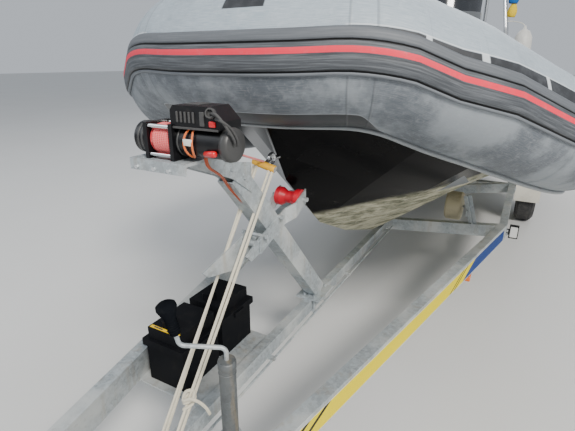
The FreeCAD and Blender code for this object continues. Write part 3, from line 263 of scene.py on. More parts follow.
def tube_fabric():
    """Coated fabric of the inflated tube, drawn on its own length and angle."""
    s = Shader("tube_fabric")
    colours = bpy.context.scene.boat_colours
    along, angle = s.axes(s.uv())[:2]
    place = s.place()
    run = abs(along)
    streaks = s.noise(s.stretched(s.uv(), (26.0, 2.2, 1.0)), 1.0, 6.0, 0.62)
    cloud = s.noise(place, 3.6, 6.0, 0.6)
    speck = s.noise(place, 46.0, 7.0, 0.72)
    top = s.mix(s.step(streaks, 0.36, 0.70), tuple(colours.tube_top), (0.40, 0.455, 0.50))
    top = s.mix(s.step(cloud, 0.48, 0.72) * 0.5, top, (0.20, 0.235, 0.27))
    top = s.mix(s.step(speck, 0.50, 0.72) * 0.35, top, (0.48, 0.53, 0.57))
    low = s.mix(s.step(streaks, 0.40, 0.72), tuple(colours.tube_low), (0.185, 0.20, 0.22))
    low = s.mix(s.step(cloud, 0.42, 0.60) * 0.75, low, (0.29, 0.32, 0.345))
    low = s.mix(s.step(speck, 0.48, 0.70) * 0.40, low, (0.30, 0.325, 0.345))
    skin = s.mix(s.step(angle, -4.0, 4.0), low, top)
    # Chafe patches above the strake from the bow corner aft, narrow at first, with pale bars between them
    upper_edge = 18.2 + s.step(run, 0.20, 1.10) * 12.5
    bars = s.band(run, 0.606, 0.623, 0.002)
    for start in (0.452, 0.842, 1.10, 1.34, 1.58, 2.30, 3.02, 3.74, 4.46):
        bars = bars + s.band(run, start, start + 0.018, 0.002)
    zone = s.step(run, 0.29, 0.30) * s.step(angle, 17.0, 18.0) * (1 - s.step(run, 4.95, 4.96))
    above = angle - upper_edge
    panel = zone * (1 - s.step(above, -0.3, 0.3)) * (1 - bars)
    dark = s.mix(s.step(s.noise(place, 26.0, 5.0), 0.40, 0.75), (0.020, 0.022, 0.026), (0.052, 0.056, 0.063))
    skin = s.mix(panel, skin, dark)
    rim = zone * s.band(above, 0.3, 1.2, 0.3) + zone * bars * (1 - s.step(above, 0.6, 1.2))
    skin = s.mix(rim * 0.75, skin, (0.60, 0.63, 0.65))
    # Dark patch on top of the bow, and the dark apron below it
    patch = s.band(along, -0.012, 0.102, 0.002) * s.band(angle, 36.0, 96.0, 0.4)
    skin = s.mix(patch, skin, dark)
    kink = s.step(run, 0.325, 0.42) * 30.0
    apron = 1 - s.step(angle + kink, -49.6, -49.0)
    gloss = s.mix(s.step(cloud, 0.40, 0.70), (0.018, 0.020, 0.023), (0.050, 0.054, 0.060))
    skin = s.mix(apron, skin, gloss)
    line = s.band(angle + kink, -49.4, -48.6, 0.22)
    skin = s.mix(line * 0.75, skin, (0.36, 0.38, 0.40))
    # Welded seams
    seams = s.band(run, 0.300, 0.304, 0.002)
    for start in (0.352, 1.350, 2.350, 3.350):
        seams = seams + s.band(run, start, start + 0.004, 0.002)
    skin = s.mix(seams * 0.35, skin, (0.09, 0.095, 0.105))
    weave = s.noise(place, 900.0, 2.0)
    bump = weave * 0.12 + seams * 1.4 + panel * 0.9 + patch * 0.9 + bars * zone * 1.1
    bump = bump + apron * 0.9 + streaks * 0.25
    return s.finish(skin, 0.46 + streaks * 0.22 - apron * 0.22, 0.0, bump, 0.0016)


def strake_rubber():
    s = Shader("strake_rubber")
    angle = s.axes(s.uv())[1]
    place = s.place()
    scuff = s.noise(s.stretched(s.uv(), (9.0, 0.9, 1.0)), 1.0, 6.0, 0.65)
    fine = s.noise(place, 120.0, 4.0)
    wing = s.step(angle, 9.0, 9.8)
    rubber = s.mix(s.step(scuff, 0.38, 0.74), (0.048, 0.054, 0.062), (0.135, 0.145, 0.160))
    rubber = s.mix(wing * 0.55, rubber, (0.13, 0.142, 0.158))
    rubber = s.mix((1 - s.step(angle, -11.9, -11.0)) * 0.6, rubber, (0.20, 0.22, 0.245))
    # The two grooves are painted near black: painted shade in the strake's recesses.
    groove_shade = s.band(angle, 8.3, 9.8, 0.15) + s.band(angle, -11.9, -10.4, 0.15)
    rubber = s.mix(groove_shade, rubber, (0.010, 0.010, 0.011))
    red = tuple(bpy.context.scene.boat_colours.stripe)
    worn = s.mix(s.step(s.noise(place, 34.0, 6.0, 0.7), 0.50, 0.80), red, (0.68, 0.11, 0.13))
    stripe = s.band(angle, 0.9, 4.9, 0.10)
    skin = s.mix(stripe, rubber, worn)
    skin = s.mix(s.step(scuff, 0.62, 0.85) * 0.35, skin, (0.30, 0.29, 0.27))
    return s.finish(skin, 0.52 + fine * 0.16, 0.0, fine * 0.4 + scuff * 0.5, 0.0010)


def hull_gelcoat():
    """Glossy black topsides over a cream, scummed bottom."""
    s = Shader("hull_gelcoat")
    place = s.place()
    x, y, z = s.axes(place)
    cloud = s.noise(s.stretched(place, (3.0, 1.2, 5.0)), 1.0, 7.0, 0.62)
    grain = s.noise(place, 24.0, 6.0, 0.7)
    drag = s.noise(s.stretched(place, (14.0, 2.0, 30.0)), 1.0, 6.0, 0.66)
    tide = z - abs(x) * 0.19 + (y - nose_y - 2.75) * 0.055
    low = 1 - s.step(tide + (cloud - 0.5) * 0.05, 0.800, 0.838)
    black = s.mix(s.step(cloud, 0.45, 0.75) * 0.5, (0.003, 0.003, 0.0035), (0.012, 0.011, 0.010))
    scum = s.mix(s.step(drag, 0.36, 0.66), (0.64, 0.61, 0.45), (0.16, 0.165, 0.11))
    scum = s.mix(s.step(grain, 0.50, 0.72) * 0.6, scum, (0.72, 0.69, 0.55))
    deck = s.step(z, 0.835, 0.839) * (1 - s.step(z, 0.842, 0.846)) * s.step(y, nose_y + 3.14, nose_y + 3.15)
    scuffs = s.step(drag, 0.62, 0.80) * 0.30 * (1 - low)
    skin = s.mix(low * 0.90, black, scum)
    skin = s.mix(scuffs, skin, (0.13, 0.12, 0.10))
    skin = s.mix(deck, skin, (0.46, 0.46, 0.44))
    return s.finish(skin, 0.20 + low * 0.42 + deck * 0.3, 0.0, grain * (low * 0.8 + 0.05), 0.0016, shine=0.06)


def rubber(name, colour, pale, scale=40.0, rough=0.72):
    s = Shader(name)
    place = s.place()
    dust = s.noise(place, scale, 6.0, 0.65)
    skin = s.mix(s.step(dust, 0.48, 0.78) * 0.7, colour, pale)
    return s.finish(skin, rough + dust * 0.12, 0.0, s.noise(place, scale * 6, 3.0), 0.0006)


def moulded(name, colour, pale, rough=0.42, scale=18.0, coat=0.0, shine=0.5):
    """Moulded plastic or paint with a fine grain, dust and worn patches."""
    s = Shader(name)
    place = s.place()
    dust = s.noise(place, scale, 7.0, 0.6)
    grain = s.noise(place, 700.0, 2.0)
    skin = s.mix(s.step(dust, 0.50, 0.80) * 0.6, colour, pale)
    return s.finish(skin, rough + dust * 0.16, 0.0, grain * 0.5 + dust * 0.3, 0.0004, coat=coat, shine=shine)


def polished_steel():
    s = Shader("stainless")
    steel = (0.62, 0.63, 0.64)
    brush = s.noise(s.stretched(s.place(), (60.0, 60.0, 6.0)), 1.0, 4.0)
    skin = s.mix(s.step(brush, 0.4, 0.8) * 0.5, steel, tuple(c * 0.7 for c in steel))
    return s.finish(skin, 0.18 + brush * 0.15, 0.9, brush, 0.0002)


def smoked_screen():
    s = Shader("screen_acrylic")
    haze = s.noise(s.place(), 8.0, 5.0)
    skin = s.mix(s.step(haze, 0.45, 0.75) * 0.4, (0.012, 0.014, 0.018), (0.06, 0.065, 0.075))
    return s.finish(skin, 0.06 + haze * 0.1, 0.0, haze, 0.0001, coat=0.8, alpha=0.9)


def twisted(name, colour, dark, twists=170.0):
    """Laid or braided rope: the pattern runs along the piece's own length and girth."""
    s = Shader(name)
    along, girth = s.axes(s.uv())[:2]
    lay = s.sine((along * twists + girth * 2.0) * math.tau)
    back = s.sine((along * twists - girth * 2.0) * math.tau)
    weave = lay * back * 0.5 + 0.5
    soil = s.noise(s.place(), 22.0, 5.0)
    skin = s.mix(weave * 0.7, colour, dark)
    skin = s.mix(s.step(soil, 0.52, 0.80) * 0.5, skin, tuple(c * 0.55 for c in colour))
    return s.finish(skin, 0.82, 0.0, weave, 0.0010, sheen=0.3)


def marking_tape():
    """Yellow tape with pairs of black slashes near its ends and a blue end piece, all bare of words."""
    s = Shader("marking_tape")
    along, across = s.axes(s.uv())[:2]
    scratch = s.noise(s.place(), 90.0, 6.0, 0.7)
    yellow = tuple(bpy.context.scene.boat_colours.tape)
    skin = s.mix(s.step(scratch, 0.60, 0.82) * 0.3, yellow, (0.62, 0.50, 0.03))
    lean = along - across * 0.185
    for start, width in ((1.545, 0.034), (1.650, 0.036), (2.872, 0.022), (2.928, 0.022)):
        skin = s.mix(s.band(lean, start, start + width, 0.0015), skin, (0.006, 0.012, 0.020))
    skin = s.mix(s.step(lean, 3.058, 3.062), skin, (0.006, 0.040, 0.200))
    edge = 1 - s.band(across, 0.035, 0.965, 0.006)
    skin = s.mix(edge * 0.8, skin, (0.70, 0.70, 0.64))
    return s.finish(skin, 0.45 + scratch * 0.2, 0.0, scratch, 0.0002, shine=0.15)


def tyre_rubber():
    s = Shader("tyre_rubber")
    place = s.place()
    dust = s.noise(place, 14.0, 7.0, 0.62)
    skin = s.mix(s.step(dust, 0.42, 0.78), (0.022, 0.022, 0.023), (0.115, 0.108, 0.098))
    return s.finish(skin, 0.70 + dust * 0.15, 0.0, s.noise(place, 260.0, 3.0), 0.0004)


def lamp_lens(name, colour):
    s = Shader(name)
    ribs = s.sine(s.axes(s.place())[0] * 1400.0) * 0.5 + 0.5
    skin = s.mix(ribs * 0.5, colour, tuple(c * 0.55 for c in colour))
    return s.finish(skin, 0.12, 0.0, ribs, 0.0008, coat=0.8)


def floor_paint():
    s = Shader("studio_floor")
    soft = s.noise(s.place(), 0.7, 3.0)
    return s.finish(s.mix(soft, (0.60, 0.60, 0.59), (0.66, 0.66, 0.65)), 0.75)


# mesh helpers
def spot(x, aft, z):
    """A point in metres: x to port of the middle, aft of the trailer's nose, z above the ground."""
    return Vector((x, nose_y + aft, z))


def turns(count, shift=0.0):
    """Angles of even steps once round."""
    return [math.tau * (k + shift) / count for k in range(count)]


def add_piece(name, mesh, material, body=root_body, smooth=True):
    """A finished piece at the origin, riding on a body, with the slot that it takes its finish from."""
    piece = bpy.data.objects.new(name, mesh)
    bpy.context.scene.collection.objects.link(piece)
    mesh.materials.append(material)
    if smooth:
        mesh.polygons.foreach_set("use_smooth", [True] * len(mesh.polygons))
    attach(piece, body)
    return piece


def mesh_from(name, bm, merge=False):
    """The mesh that bm holds. Merged, its doubles are gone and its normals point out."""
    if merge:
        bmesh.ops.remove_doubles(bm, verts=bm.verts, dist=1e-5)
        bmesh.ops.recalc_face_normals(bm, faces=bm.faces)
    mesh = bpy.data.meshes.new(name)
    bm.to_mesh(mesh)
    bm.free()
    return mesh


def block(bm, low, high, soft):
    """A box between two corners, its edges rounded by soft."""
    low, high = Vector(low), Vector(high)
    place = Matrix.Translation((low + high) / 2) @ Matrix.Diagonal((*(high - low), 1.0))
    made = bmesh.ops.create_cube(bm, size=1.0, matrix=place)
    edges = {edge for vert in made["verts"] for edge in vert.link_edges}
    bmesh.ops.bevel(bm, geom=list(edges), offset=soft, segments=3, profile=0.5, affect="EDGES")


def both_sides(low, high, soft):
    """Rows for block: a box to port and its mirror image to starboard."""
    return [(low, high, soft), ((-high.x, low.y, low.z), (-low.x, high.y, high.z), soft)]


def bridge(bm, rings, uv=None, flip=False, closed=True):
    """Faces between each ring of points and the next; uv takes a ring's number and a step round it."""
    layer = bm.loops.layers.uv.get("surface")
    count = len(rings[0])
    for row in range(len(rings) - 1):
        for k in range(count if closed else count - 1):
            corners = ((row, k), (row, k + 1), (row + 1, k + 1), (row + 1, k))
            if flip:
                corners = corners[::-1]
            face = bm.faces.new([rings[ring][step % count] for ring, step in corners])
            if uv:
                for loop, (ring, step) in zip(face.loops, corners):
                    loop[layer].uv = uv(ring, step)


def lathe(bm, profile, centre, axis, steps, bore=None):
    """A turned form: profile rows are distance along the axis and radius. With a bore it is a ring."""
    if bore:
        profile = [(profile[0][0], bore), *profile, (profile[-1][0], bore)]
    facing = Vector((0, 0, 1)).rotation_difference(Vector(axis).normalized()).to_matrix().to_4x4()
    place = Matrix.Translation(centre) @ facing
    rings = [
        [
            bm.verts.new(place @ Vector((radius * math.cos(a), radius * math.sin(a), reach)))
            for a in turns(steps)
        ]
        for reach, radius in profile
    ]
    if bore:
        bridge(bm, rings + rings[:1])
    else:
        bridge(bm, rings)
        bm.faces.new(rings[0][::-1])
        bm.faces.new(rings[-1])


def solid_piece(name, material, blocks=(), lathes=(), smooth=True):
    """A piece of rounded blocks and turned forms, each a row of what block or lathe takes."""
    bm = bmesh.new()
    for row in blocks:
        block(bm, *row)
    for row in lathes:
        lathe(bm, *row)
    return add_piece(name, mesh_from(name, bm, True), material, smooth=smooth)


def strand_mesh(name, points, radius, sides=12, closed_ends=True):
    """A round strand along a list of points, with its length and girth as UV."""
    bm = bmesh.new()
    bm.loops.layers.uv.new("surface")
    points = [Vector(p) for p in points]
    side = None
    rings = []
    runs = []
    run = 0.0
    for before, point, after in zip([points[0]] + points, points, points[1:] + [points[-1]]):
        heading = (after - before).normalized()
        if side is None:
            side = heading.orthogonal().normalized()
        side = (side - heading * side.dot(heading)).normalized()
        other = heading.cross(side)
        rings.append([
            bm.verts.new(point + side * (radius * math.cos(a)) + other * (radius * math.sin(a)))
            for a in turns(sides)
        ])
        run += (point - before).length
        runs.append(run)
    bridge(bm, rings, lambda ring, step: (runs[ring], step / sides))
    if closed_ends:
        bm.faces.new(rings[0][::-1])
        bm.faces.new(rings[-1])
    return mesh_from(name, bm)


def smooth_path(points, steps=8):
    """Points along the smooth curve through a short list of points."""
    points = [Vector(p) for p in points]
    ends = [points[0] * 2 - points[1]] + points + [points[-1] * 2 - points[-2]]
    path = []
    for a, b, c, d in zip(ends, ends[1:], ends[2:], ends[3:]):
        for k in range(steps):
            t = k / steps
            bend = (2 * a - 5 * b + 4 * c - d) * t * t + (3 * b - a - 3 * c + d) * t ** 3
            path.append(0.5 * (2 * b + (c - a) * t + bend))
    path.append(points[-1])
    return path


def joined_piece(name, meshes, material, body=root_body):
    """A piece of several meshes, UVs kept."""
    bm = bmesh.new()
    for mesh in meshes:
        bm.from_mesh(mesh)
        bpy.data.meshes.remove(mesh)
    return add_piece(name, mesh_from(name, bm), material, body)


# the tube's axis
def axis_samples(pitch=0.03, straight_pitch=0.10):
    """Distance along, point and heading down the port half of the tube's axis."""
    points = [spot(x, aft, z) for x, aft, z, radius in tube_axis]
    radii = [radius for x, aft, z, radius in tube_axis]
    rows = []
    run = 0.0
    here = points[0]
    for before, corner, after, radius in zip(points, points[1:], points[2:], radii[1:]):
        way_in = (corner - before).normalized()
        way_out = (after - corner).normalized()
        turn = way_in.angle(way_out)
        start = corner - way_in * (radius * math.tan(turn / 2))
        length = (start - here).length
        count = max(1, round(length / pitch))
        rows += [(run + length * k / count, here.lerp(start, k / count), way_in) for k in range(count)]
        run += length
        axis = way_in.cross(way_out).normalized()
        centre = start + axis.cross(way_in) * radius
        count = max(2, round(radius * turn / pitch))
        for k in range(count):
            spin = Matrix.Rotation(turn * k / count, 3, axis)
            rows.append((run + radius * turn * k / count, centre + spin @ (start - centre), spin @ way_in))
        run += radius * turn
        here = corner + way_out * (radius * math.tan(turn / 2))
    length = (points[-1] - here).length
    count = max(1, round(length / straight_pitch))
    heading = (points[-1] - here).normalized()
    rows += [(run + length * k / count, here.lerp(points[-1], k / count), heading) for k in range(count + 1)]
    return rows


def skin_point(sample, angle, off, side):
    """A point at an angle above the tube's equator, off its skin by off, on the side's half of the boat."""
    centre, heading = sample[1:]
    flat = Vector((heading.x, heading.y, 0)).normalized()
    out = Vector((flat.y, -flat.x, 0))
    turn = math.radians(angle)
    radius = bpy.context.scene.boat_sizes.tube_radius + off
    point = centre + (out * math.cos(turn) + Vector((0, 0, 1)) * math.sin(turn)) * radius
    return Vector((point.x * side, point.y, point.z))


def swept_skin(name, samples, section, sides=(1, -1), caps=False):
    """A closed section swept through every sample; UV is the signed length and the angle."""
    bm = bmesh.new()
    bm.loops.layers.uv.new("surface")
    count = len(section)
    for side in sides:
        rings = [[bm.verts.new(skin_point(sample, a, off, side)) for a, off in section] for sample in samples]

        def length_and_angle(ring, step):
            """A corner's UV; the step that closes a ring has the first angle less a full turn."""
            return samples[ring][0] * side, section[step % count][0] - 360.0 * (step // count)

        bridge(bm, rings, length_and_angle, side > 0)
        if caps:
            bm.faces.new(rings[0])
            bm.faces.new(rings[-1])
    return mesh_from(name, bm, True)


# geometry nodes: copies on points
def copies_on_points(name, points, directions, shape, sizes, material, body=root_body):
    """Blocks or hexagons on points, each turned along its direction, made real by a node tree."""
    host = bpy.data.meshes.new(name)
    host.from_pydata([tuple(p) for p in points], [], [])
    attribute = host.attributes.new("facing", "FLOAT_VECTOR", "POINT")
    attribute.data.foreach_set("vector", [c for d in directions for c in d])
    carrier = bpy.data.objects.new(name + "_points", host)
    bpy.context.scene.collection.objects.link(carrier)
    tree = bpy.data.node_groups.new(name, "GeometryNodeTree")
    interface = [
        tree.interface.new_socket(label, in_out=way, socket_type="NodeSocket" + kind)
        for label, way, kind in (
            ("Points", "INPUT", "Geometry"), ("Width", "INPUT", "Float"), ("Height", "INPUT", "Float"),
            ("Copies", "OUTPUT", "Geometry"),
        )
    ]
    g = Graph(tree)
    start, width, height = g.three(g.node("NodeGroupInput"))
    if shape == "block":
        size = g.node("ShaderNodeCombineXYZ", {}, {0: width, 1: sizes[2], 2: height})
        form = g.node("GeometryNodeMeshCube", {}, {"Size": size})
    else:
        sockets = {"Vertices": 6, "Radius": width * 0.5, "Depth": height}
        form = g.node("GeometryNodeMeshCylinder", {}, sockets)
    facing = g.node("GeometryNodeInputNamedAttribute", {"data_type": "FLOAT_VECTOR"}, {"Name": "facing"})
    turn = g.node("FunctionNodeAlignRotationToVector", {"axis": "Z"}, {"Vector": facing})
    put = g.node("GeometryNodeInstanceOnPoints", {}, {"Points": start, "Instance": form, "Rotation": turn})
    real = g.node("GeometryNodeRealizeInstances", {}, {"Geometry": put})
    g.node("NodeGroupOutput", {}, {"Copies": real})
    modifier = carrier.modifiers.new("copies", "NODES")
    modifier.node_group = tree
    for socket, size in zip(interface[1:3], sizes):
        modifier[socket.identifier] = size
    evaluated = carrier.evaluated_get(bpy.context.evaluated_depsgraph_get())
    mesh = bpy.data.meshes.new_from_object(evaluated)
    mesh.name = name
    mesh.materials.clear()
    bpy.data.objects.remove(carrier)
    add_piece(name, mesh, material, body, smooth=False)


def low_of(node):
    return Vector(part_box(node)[0])


def high_of(node):
    return Vector(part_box(node)[1])


def centre_of(node):
    return (low_of(node) + high_of(node)) / 2


# operators
class BOAT_OT_stage(bpy.types.Operator):
    """Pale floor, soft light and the camera at the photograph's view"""
    bl_idname = "boat.stage"
    bl_label = "Stage and camera"

    def execute(self, context):
        link = context.scene.collection.objects.link
        bm = bmesh.new()
        below = Matrix.Translation((0, 0, -0.001))
        bmesh.ops.create_grid(bm, x_segments=1, y_segments=1, size=60.0, matrix=below)
        floor = mesh_from("studio_floor", bm, True)
        floor.materials.append(floor_paint())
        ground = bpy.data.objects.new("studio_floor", floor)
        link(ground)
        world = bpy.data.worlds.new("studio")
        world.use_nodes = True
        sky = world.node_tree.nodes["Background"]
        sky.inputs["Color"].default_value = (0.86, 0.92, 1.0, 1.0)
        sky.inputs["Strength"].default_value = 0.62
        context.scene.world = world
        target = Vector((0.0, -1.0, 0.8))
        for name, place, power, size, colour in (
            ("key", (5.5, -6.5, 7.0), 1250.0, 2.4, (1.0, 0.96, 0.90)),
            ("fill", (-6.5, -6.0, 5.5), 200.0, 5.0, (0.90, 0.95, 1.0)),
            ("back", (0.0, 8.0, 6.5), 420.0, 6.0, (1.0, 1.0, 1.0)),
        ):
            light = bpy.data.lights.new(name, "AREA")
            light.energy = power
            light.size = size
            light.color = colour
            lamp = bpy.data.objects.new(name, light)
            lamp.location = place
            lamp.rotation_euler = (target - Vector(place)).to_track_quat("-Z", "Y").to_euler()
            link(lamp)
        lens = bpy.data.cameras.new("photo_view")
        lens.sensor_width = 36.0
        lens.lens = 26.9
        lens.clip_start = 0.05
        camera = bpy.data.objects.new("photo_view", lens)
        camera.location = spot(0.805, 0.820, 1.498)
        camera.rotation_euler = (math.radians(90 - 19.73), 0.0, math.radians(28.92))
        link(camera)
        context.scene.camera = camera
        return {"FINISHED"}


class BOAT_OT_finishes(bpy.types.Operator):
    """Gives every carried-over part its finish"""
    bl_idname = "boat.finishes"
    bl_label = "Part finishes"

    def execute(self, context):
        for material, parts in (
            (galvanised(),
             "rail_port rail_starboard centre_beam cross_members coupling_head damper_housing brake_rod axle "
             "jockey_clamp jockey_fork jockey_crank winch_post roller_arm winch_base battery_tray "
             "keel_brackets side_struts lamp_bar"),
            (galvanised("jockey_zinc", 0.6, 0.28), "jockey_outer_tube jockey_inner_tube"),
            (rubber("black_rubber", (0.025, 0.025, 0.027), (0.12, 0.115, 0.105)),
             "coupling_bellows jockey_wheel"),
            (tyre_rubber(), "tyre_port tyre_starboard"),
            (moulded("rim_steel", (0.42, 0.43, 0.44), (0.20, 0.18, 0.15), 0.32), "rim_port rim_starboard"),
            (rubber("roller_red", (0.70, 0.010, 0.030), (0.52, 0.035, 0.045), 26.0, 0.34),
             "bow_roller keel_rollers"),
            (rubber("roller_cream", (0.56, 0.50, 0.34), (0.25, 0.21, 0.14), 12.0, 0.7), "side_rollers"),
            (moulded("winch_paint", (0.004, 0.004, 0.005), (0.020, 0.019, 0.018), 0.26, 30.0, shine=0.35),
             "winch_body"),
            (rubber("winch_rope_fibre", (0.62, 0.05, 0.06), (0.66, 0.42, 0.40), 60.0, 0.8), "winch_drum"),
            (moulded("black_plastic", (0.005, 0.005, 0.006), (0.024, 0.022, 0.020), 0.36, 26.0, shine=0.30),
             "winch_control_box handbrake_lever helm_wheel lamps"),
            (moulded("battery_plastic", (0.005, 0.0055, 0.007), (0.018, 0.017, 0.016), 0.58, 20.0, shine=0.1),
             "battery_boxes"),
            (hull_gelcoat(), "hull"),
            (moulded("console_gelcoat", (0.10, 0.108, 0.116), (0.16, 0.165, 0.17), 0.16, 6.0, coat=0.7),
             "console"),
            (moulded("seat_vinyl", (0.022, 0.022, 0.025), (0.06, 0.06, 0.062), 0.46, 12.0), "seat"),
            (polished_steel(), "arch grab_rail bow_hook"),
            (smoked_screen(), "windscreen"),
            (moulded("engine_paint", (0.020, 0.021, 0.024), (0.08, 0.08, 0.082), 0.28, 7.0, coat=0.5),
             "clamp_bracket swivel_bracket engine_midsection engine_gearcase engine_cowl propeller"),
            (moulded("guard_plastic", (0.56, 0.54, 0.47), (0.34, 0.32, 0.27), 0.42, 7.0), "mudguards"),
            (moulded("tube_cone", (0.10, 0.105, 0.115), (0.20, 0.21, 0.22), 0.55, 8.0), "tube_cones"),
        ):
            for part in parts.split():
                slots = nodes[part].data.materials
                slots.clear()
                slots.append(material)
        return {"FINISHED"}


class BOAT_OT_tube(bpy.types.Operator):
    """Inflated tube: one smooth welded skin round the boat"""
    bl_idname = "boat.tube"
    bl_label = "Inflated tube"

    def execute(self, context):
        fabric = tube_fabric()
        samples = axis_samples()
        steps = 72
        section = [(180.0 - 360.0 * k / steps, 0.0) for k in range(steps)]
        seam_y = low_of("tube_port").y + 0.05
        split = sum(row[1].y <= seam_y for row in samples)
        for name, node, rows, sides, caps in (
            ("bow_skin", "tube_bow", samples[:split + 1], (1, -1), False),
            ("port_skin", "tube_port", samples[split:], (1,), True),
            ("starboard_skin", "tube_starboard", samples[split:], (-1,), True),
        ):
            skin = swept_skin(name, rows, section, sides, caps)
            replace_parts(add_piece(name, skin, fabric), node)
        return {"FINISHED"}


class BOAT_OT_strake(bpy.types.Operator):
    """Rubbing strake with its two grooves and red line"""
    bl_idname = "boat.strake"
    bl_label = "Rubbing strake"

    def execute(self, context):
        section = strake_section + [(-10.0, -0.004), (14.0, -0.004)]
        mesh = swept_skin("rubbing_strake", axis_samples(), section)
        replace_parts(add_piece("rubbing_strake", mesh, strake_rubber()), "strake")
        return {"FINISHED"}


class BOAT_OT_hull_lip(bpy.types.Operator):
    """Pale lip of the hull that the tube is bonded to"""
    bl_idname = "boat.hull_lip"
    bl_label = "Hull lip"

    def execute(self, context):
        lip_end_y = nose_y + 7.2
        samples = [row for row in axis_samples() if row[1].y < lip_end_y]
        bm = bmesh.new()
        for side in (1, -1):
            rings = []
            for row in samples:
                # The lip grows thicker from the middle of the bow to its corner
                growth = min(1.0, max(0.0, (row[0] - 0.15) / 0.35))
                outer = 0.006 + 0.006 * growth
                corners = (
                    (-79.0, 0.0005), (-79.2, outer), (-80.2, outer + 0.003), (-82.6, outer + 0.003),
                    (-83.8, outer), (-84.0, 0.0005),
                )
                rings.append([bm.verts.new(skin_point(row, a, off, side)) for a, off in corners])
            bridge(bm, rings)
            bm.faces.new(rings[-1])
        pale = moulded("lip_gelcoat", (0.27, 0.29, 0.30), (0.10, 0.10, 0.09), 0.30, 22.0)
        add_piece("hull_lip", mesh_from("hull_lip", bm, True), pale)
        return {"FINISHED"}


class BOAT_OT_ropes(bpy.types.Operator):
    """Tie-down ropes, their turns round the beam, the winch rope and the hook's sleeve"""
    bl_idname = "boat.ropes"
    bl_label = "Ropes"

    def execute(self, context):
        radius = context.scene.boat_sizes.rope_radius
        cream = twisted("rope_fibre", (0.70, 0.66, 0.53), (0.40, 0.36, 0.27))
        hook = spot(0, 2.104, 1.147)
        hook_slope = 0.24
        grip = 0.0253
        beam_top, beam_low = high_of("centre_beam").z, low_of("centre_beam").z
        strands = []
        for top_x, low_x, shift in (
            (0.038, grip, 0.0), (0.024, grip, -0.026), (-0.038, -grip, 0.0), (-0.026, -grip, -0.026)
        ):
            top = Vector((top_x, hook.y, hook.z - top_x * hook_slope))
            foot = spot(low_x, 1.528 + shift, beam_top - 0.010)
            strands.append(strand_mesh("strand", [top.lerp(foot, k / 60) for k in range(61)], radius))
        # The turns follow the beam's square section: a larger circle cut off at its four faces
        for k in range(3):
            ring = []
            for a in turns(48) + [math.tau]:
                x = max(-1.0, min(1.0, 1.35 * math.cos(a))) * grip
                z = max(-1.0, min(1.0, 1.35 * math.sin(a))) * ((beam_top - beam_low) / 2 + 0.0053)
                ring.append(spot(x, 1.5015 + 0.013 * k, z + (beam_top + beam_low) / 2))
            strands.append(strand_mesh("turn", ring, radius * 0.95, closed_ends=False))
        knot_place = spot(0, 1.606, 0.500)
        knot = [
            (0.020, -0.030, -0.010), (0.040, -0.008, 0.004), (0.028, 0.018, 0.012), (0.014, 0.004, 0.018),
            (0.022, -0.024, 0.012), (0.042, -0.010, 0.024), (0.030, 0.014, 0.032), (0.014, -0.004, 0.036),
            (0.026, -0.030, 0.028), (0.046, -0.022, 0.036), (0.068, -0.010, 0.026), (0.086, 0.000, 0.004),
            (0.096, 0.006, -0.022),
        ]
        route = smooth_path([knot_place + Vector(point) for point in knot], 6)
        strands.append(strand_mesh("knot", route, radius))
        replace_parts(joined_piece("tie_down_rope", strands, cream), "mooring_rope")
        line_radius = 0.004
        low, high = low_of("winch_rope"), high_of("winch_rope")
        start, end = Vector((0, low.y, high.z - line_radius)), Vector((0, high.y, low.z + line_radius))
        mesh = strand_mesh("winch_line", [start.lerp(end, k / 40) for k in range(41)], line_radius)
        red = twisted("winch_line", (0.64, 0.05, 0.06), (0.72, 0.45, 0.43), 150.0)
        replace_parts(add_piece("winch_line", mesh, red), "winch_rope")
        sleeve = [(-0.047, 0.0118), (-0.044, 0.0135), (0.044, 0.0135), (0.047, 0.0118)]
        yellow = rubber("sleeve_yellow", (0.80, 0.42, 0.02), (0.35, 0.22, 0.05), 60.0, 0.5)
        lathes = [(sleeve, hook, (1.0, 0.0, -hook_slope), 48)]
        solid_piece("hook_sleeve", yellow, lathes=lathes)
        return {"FINISHED"}


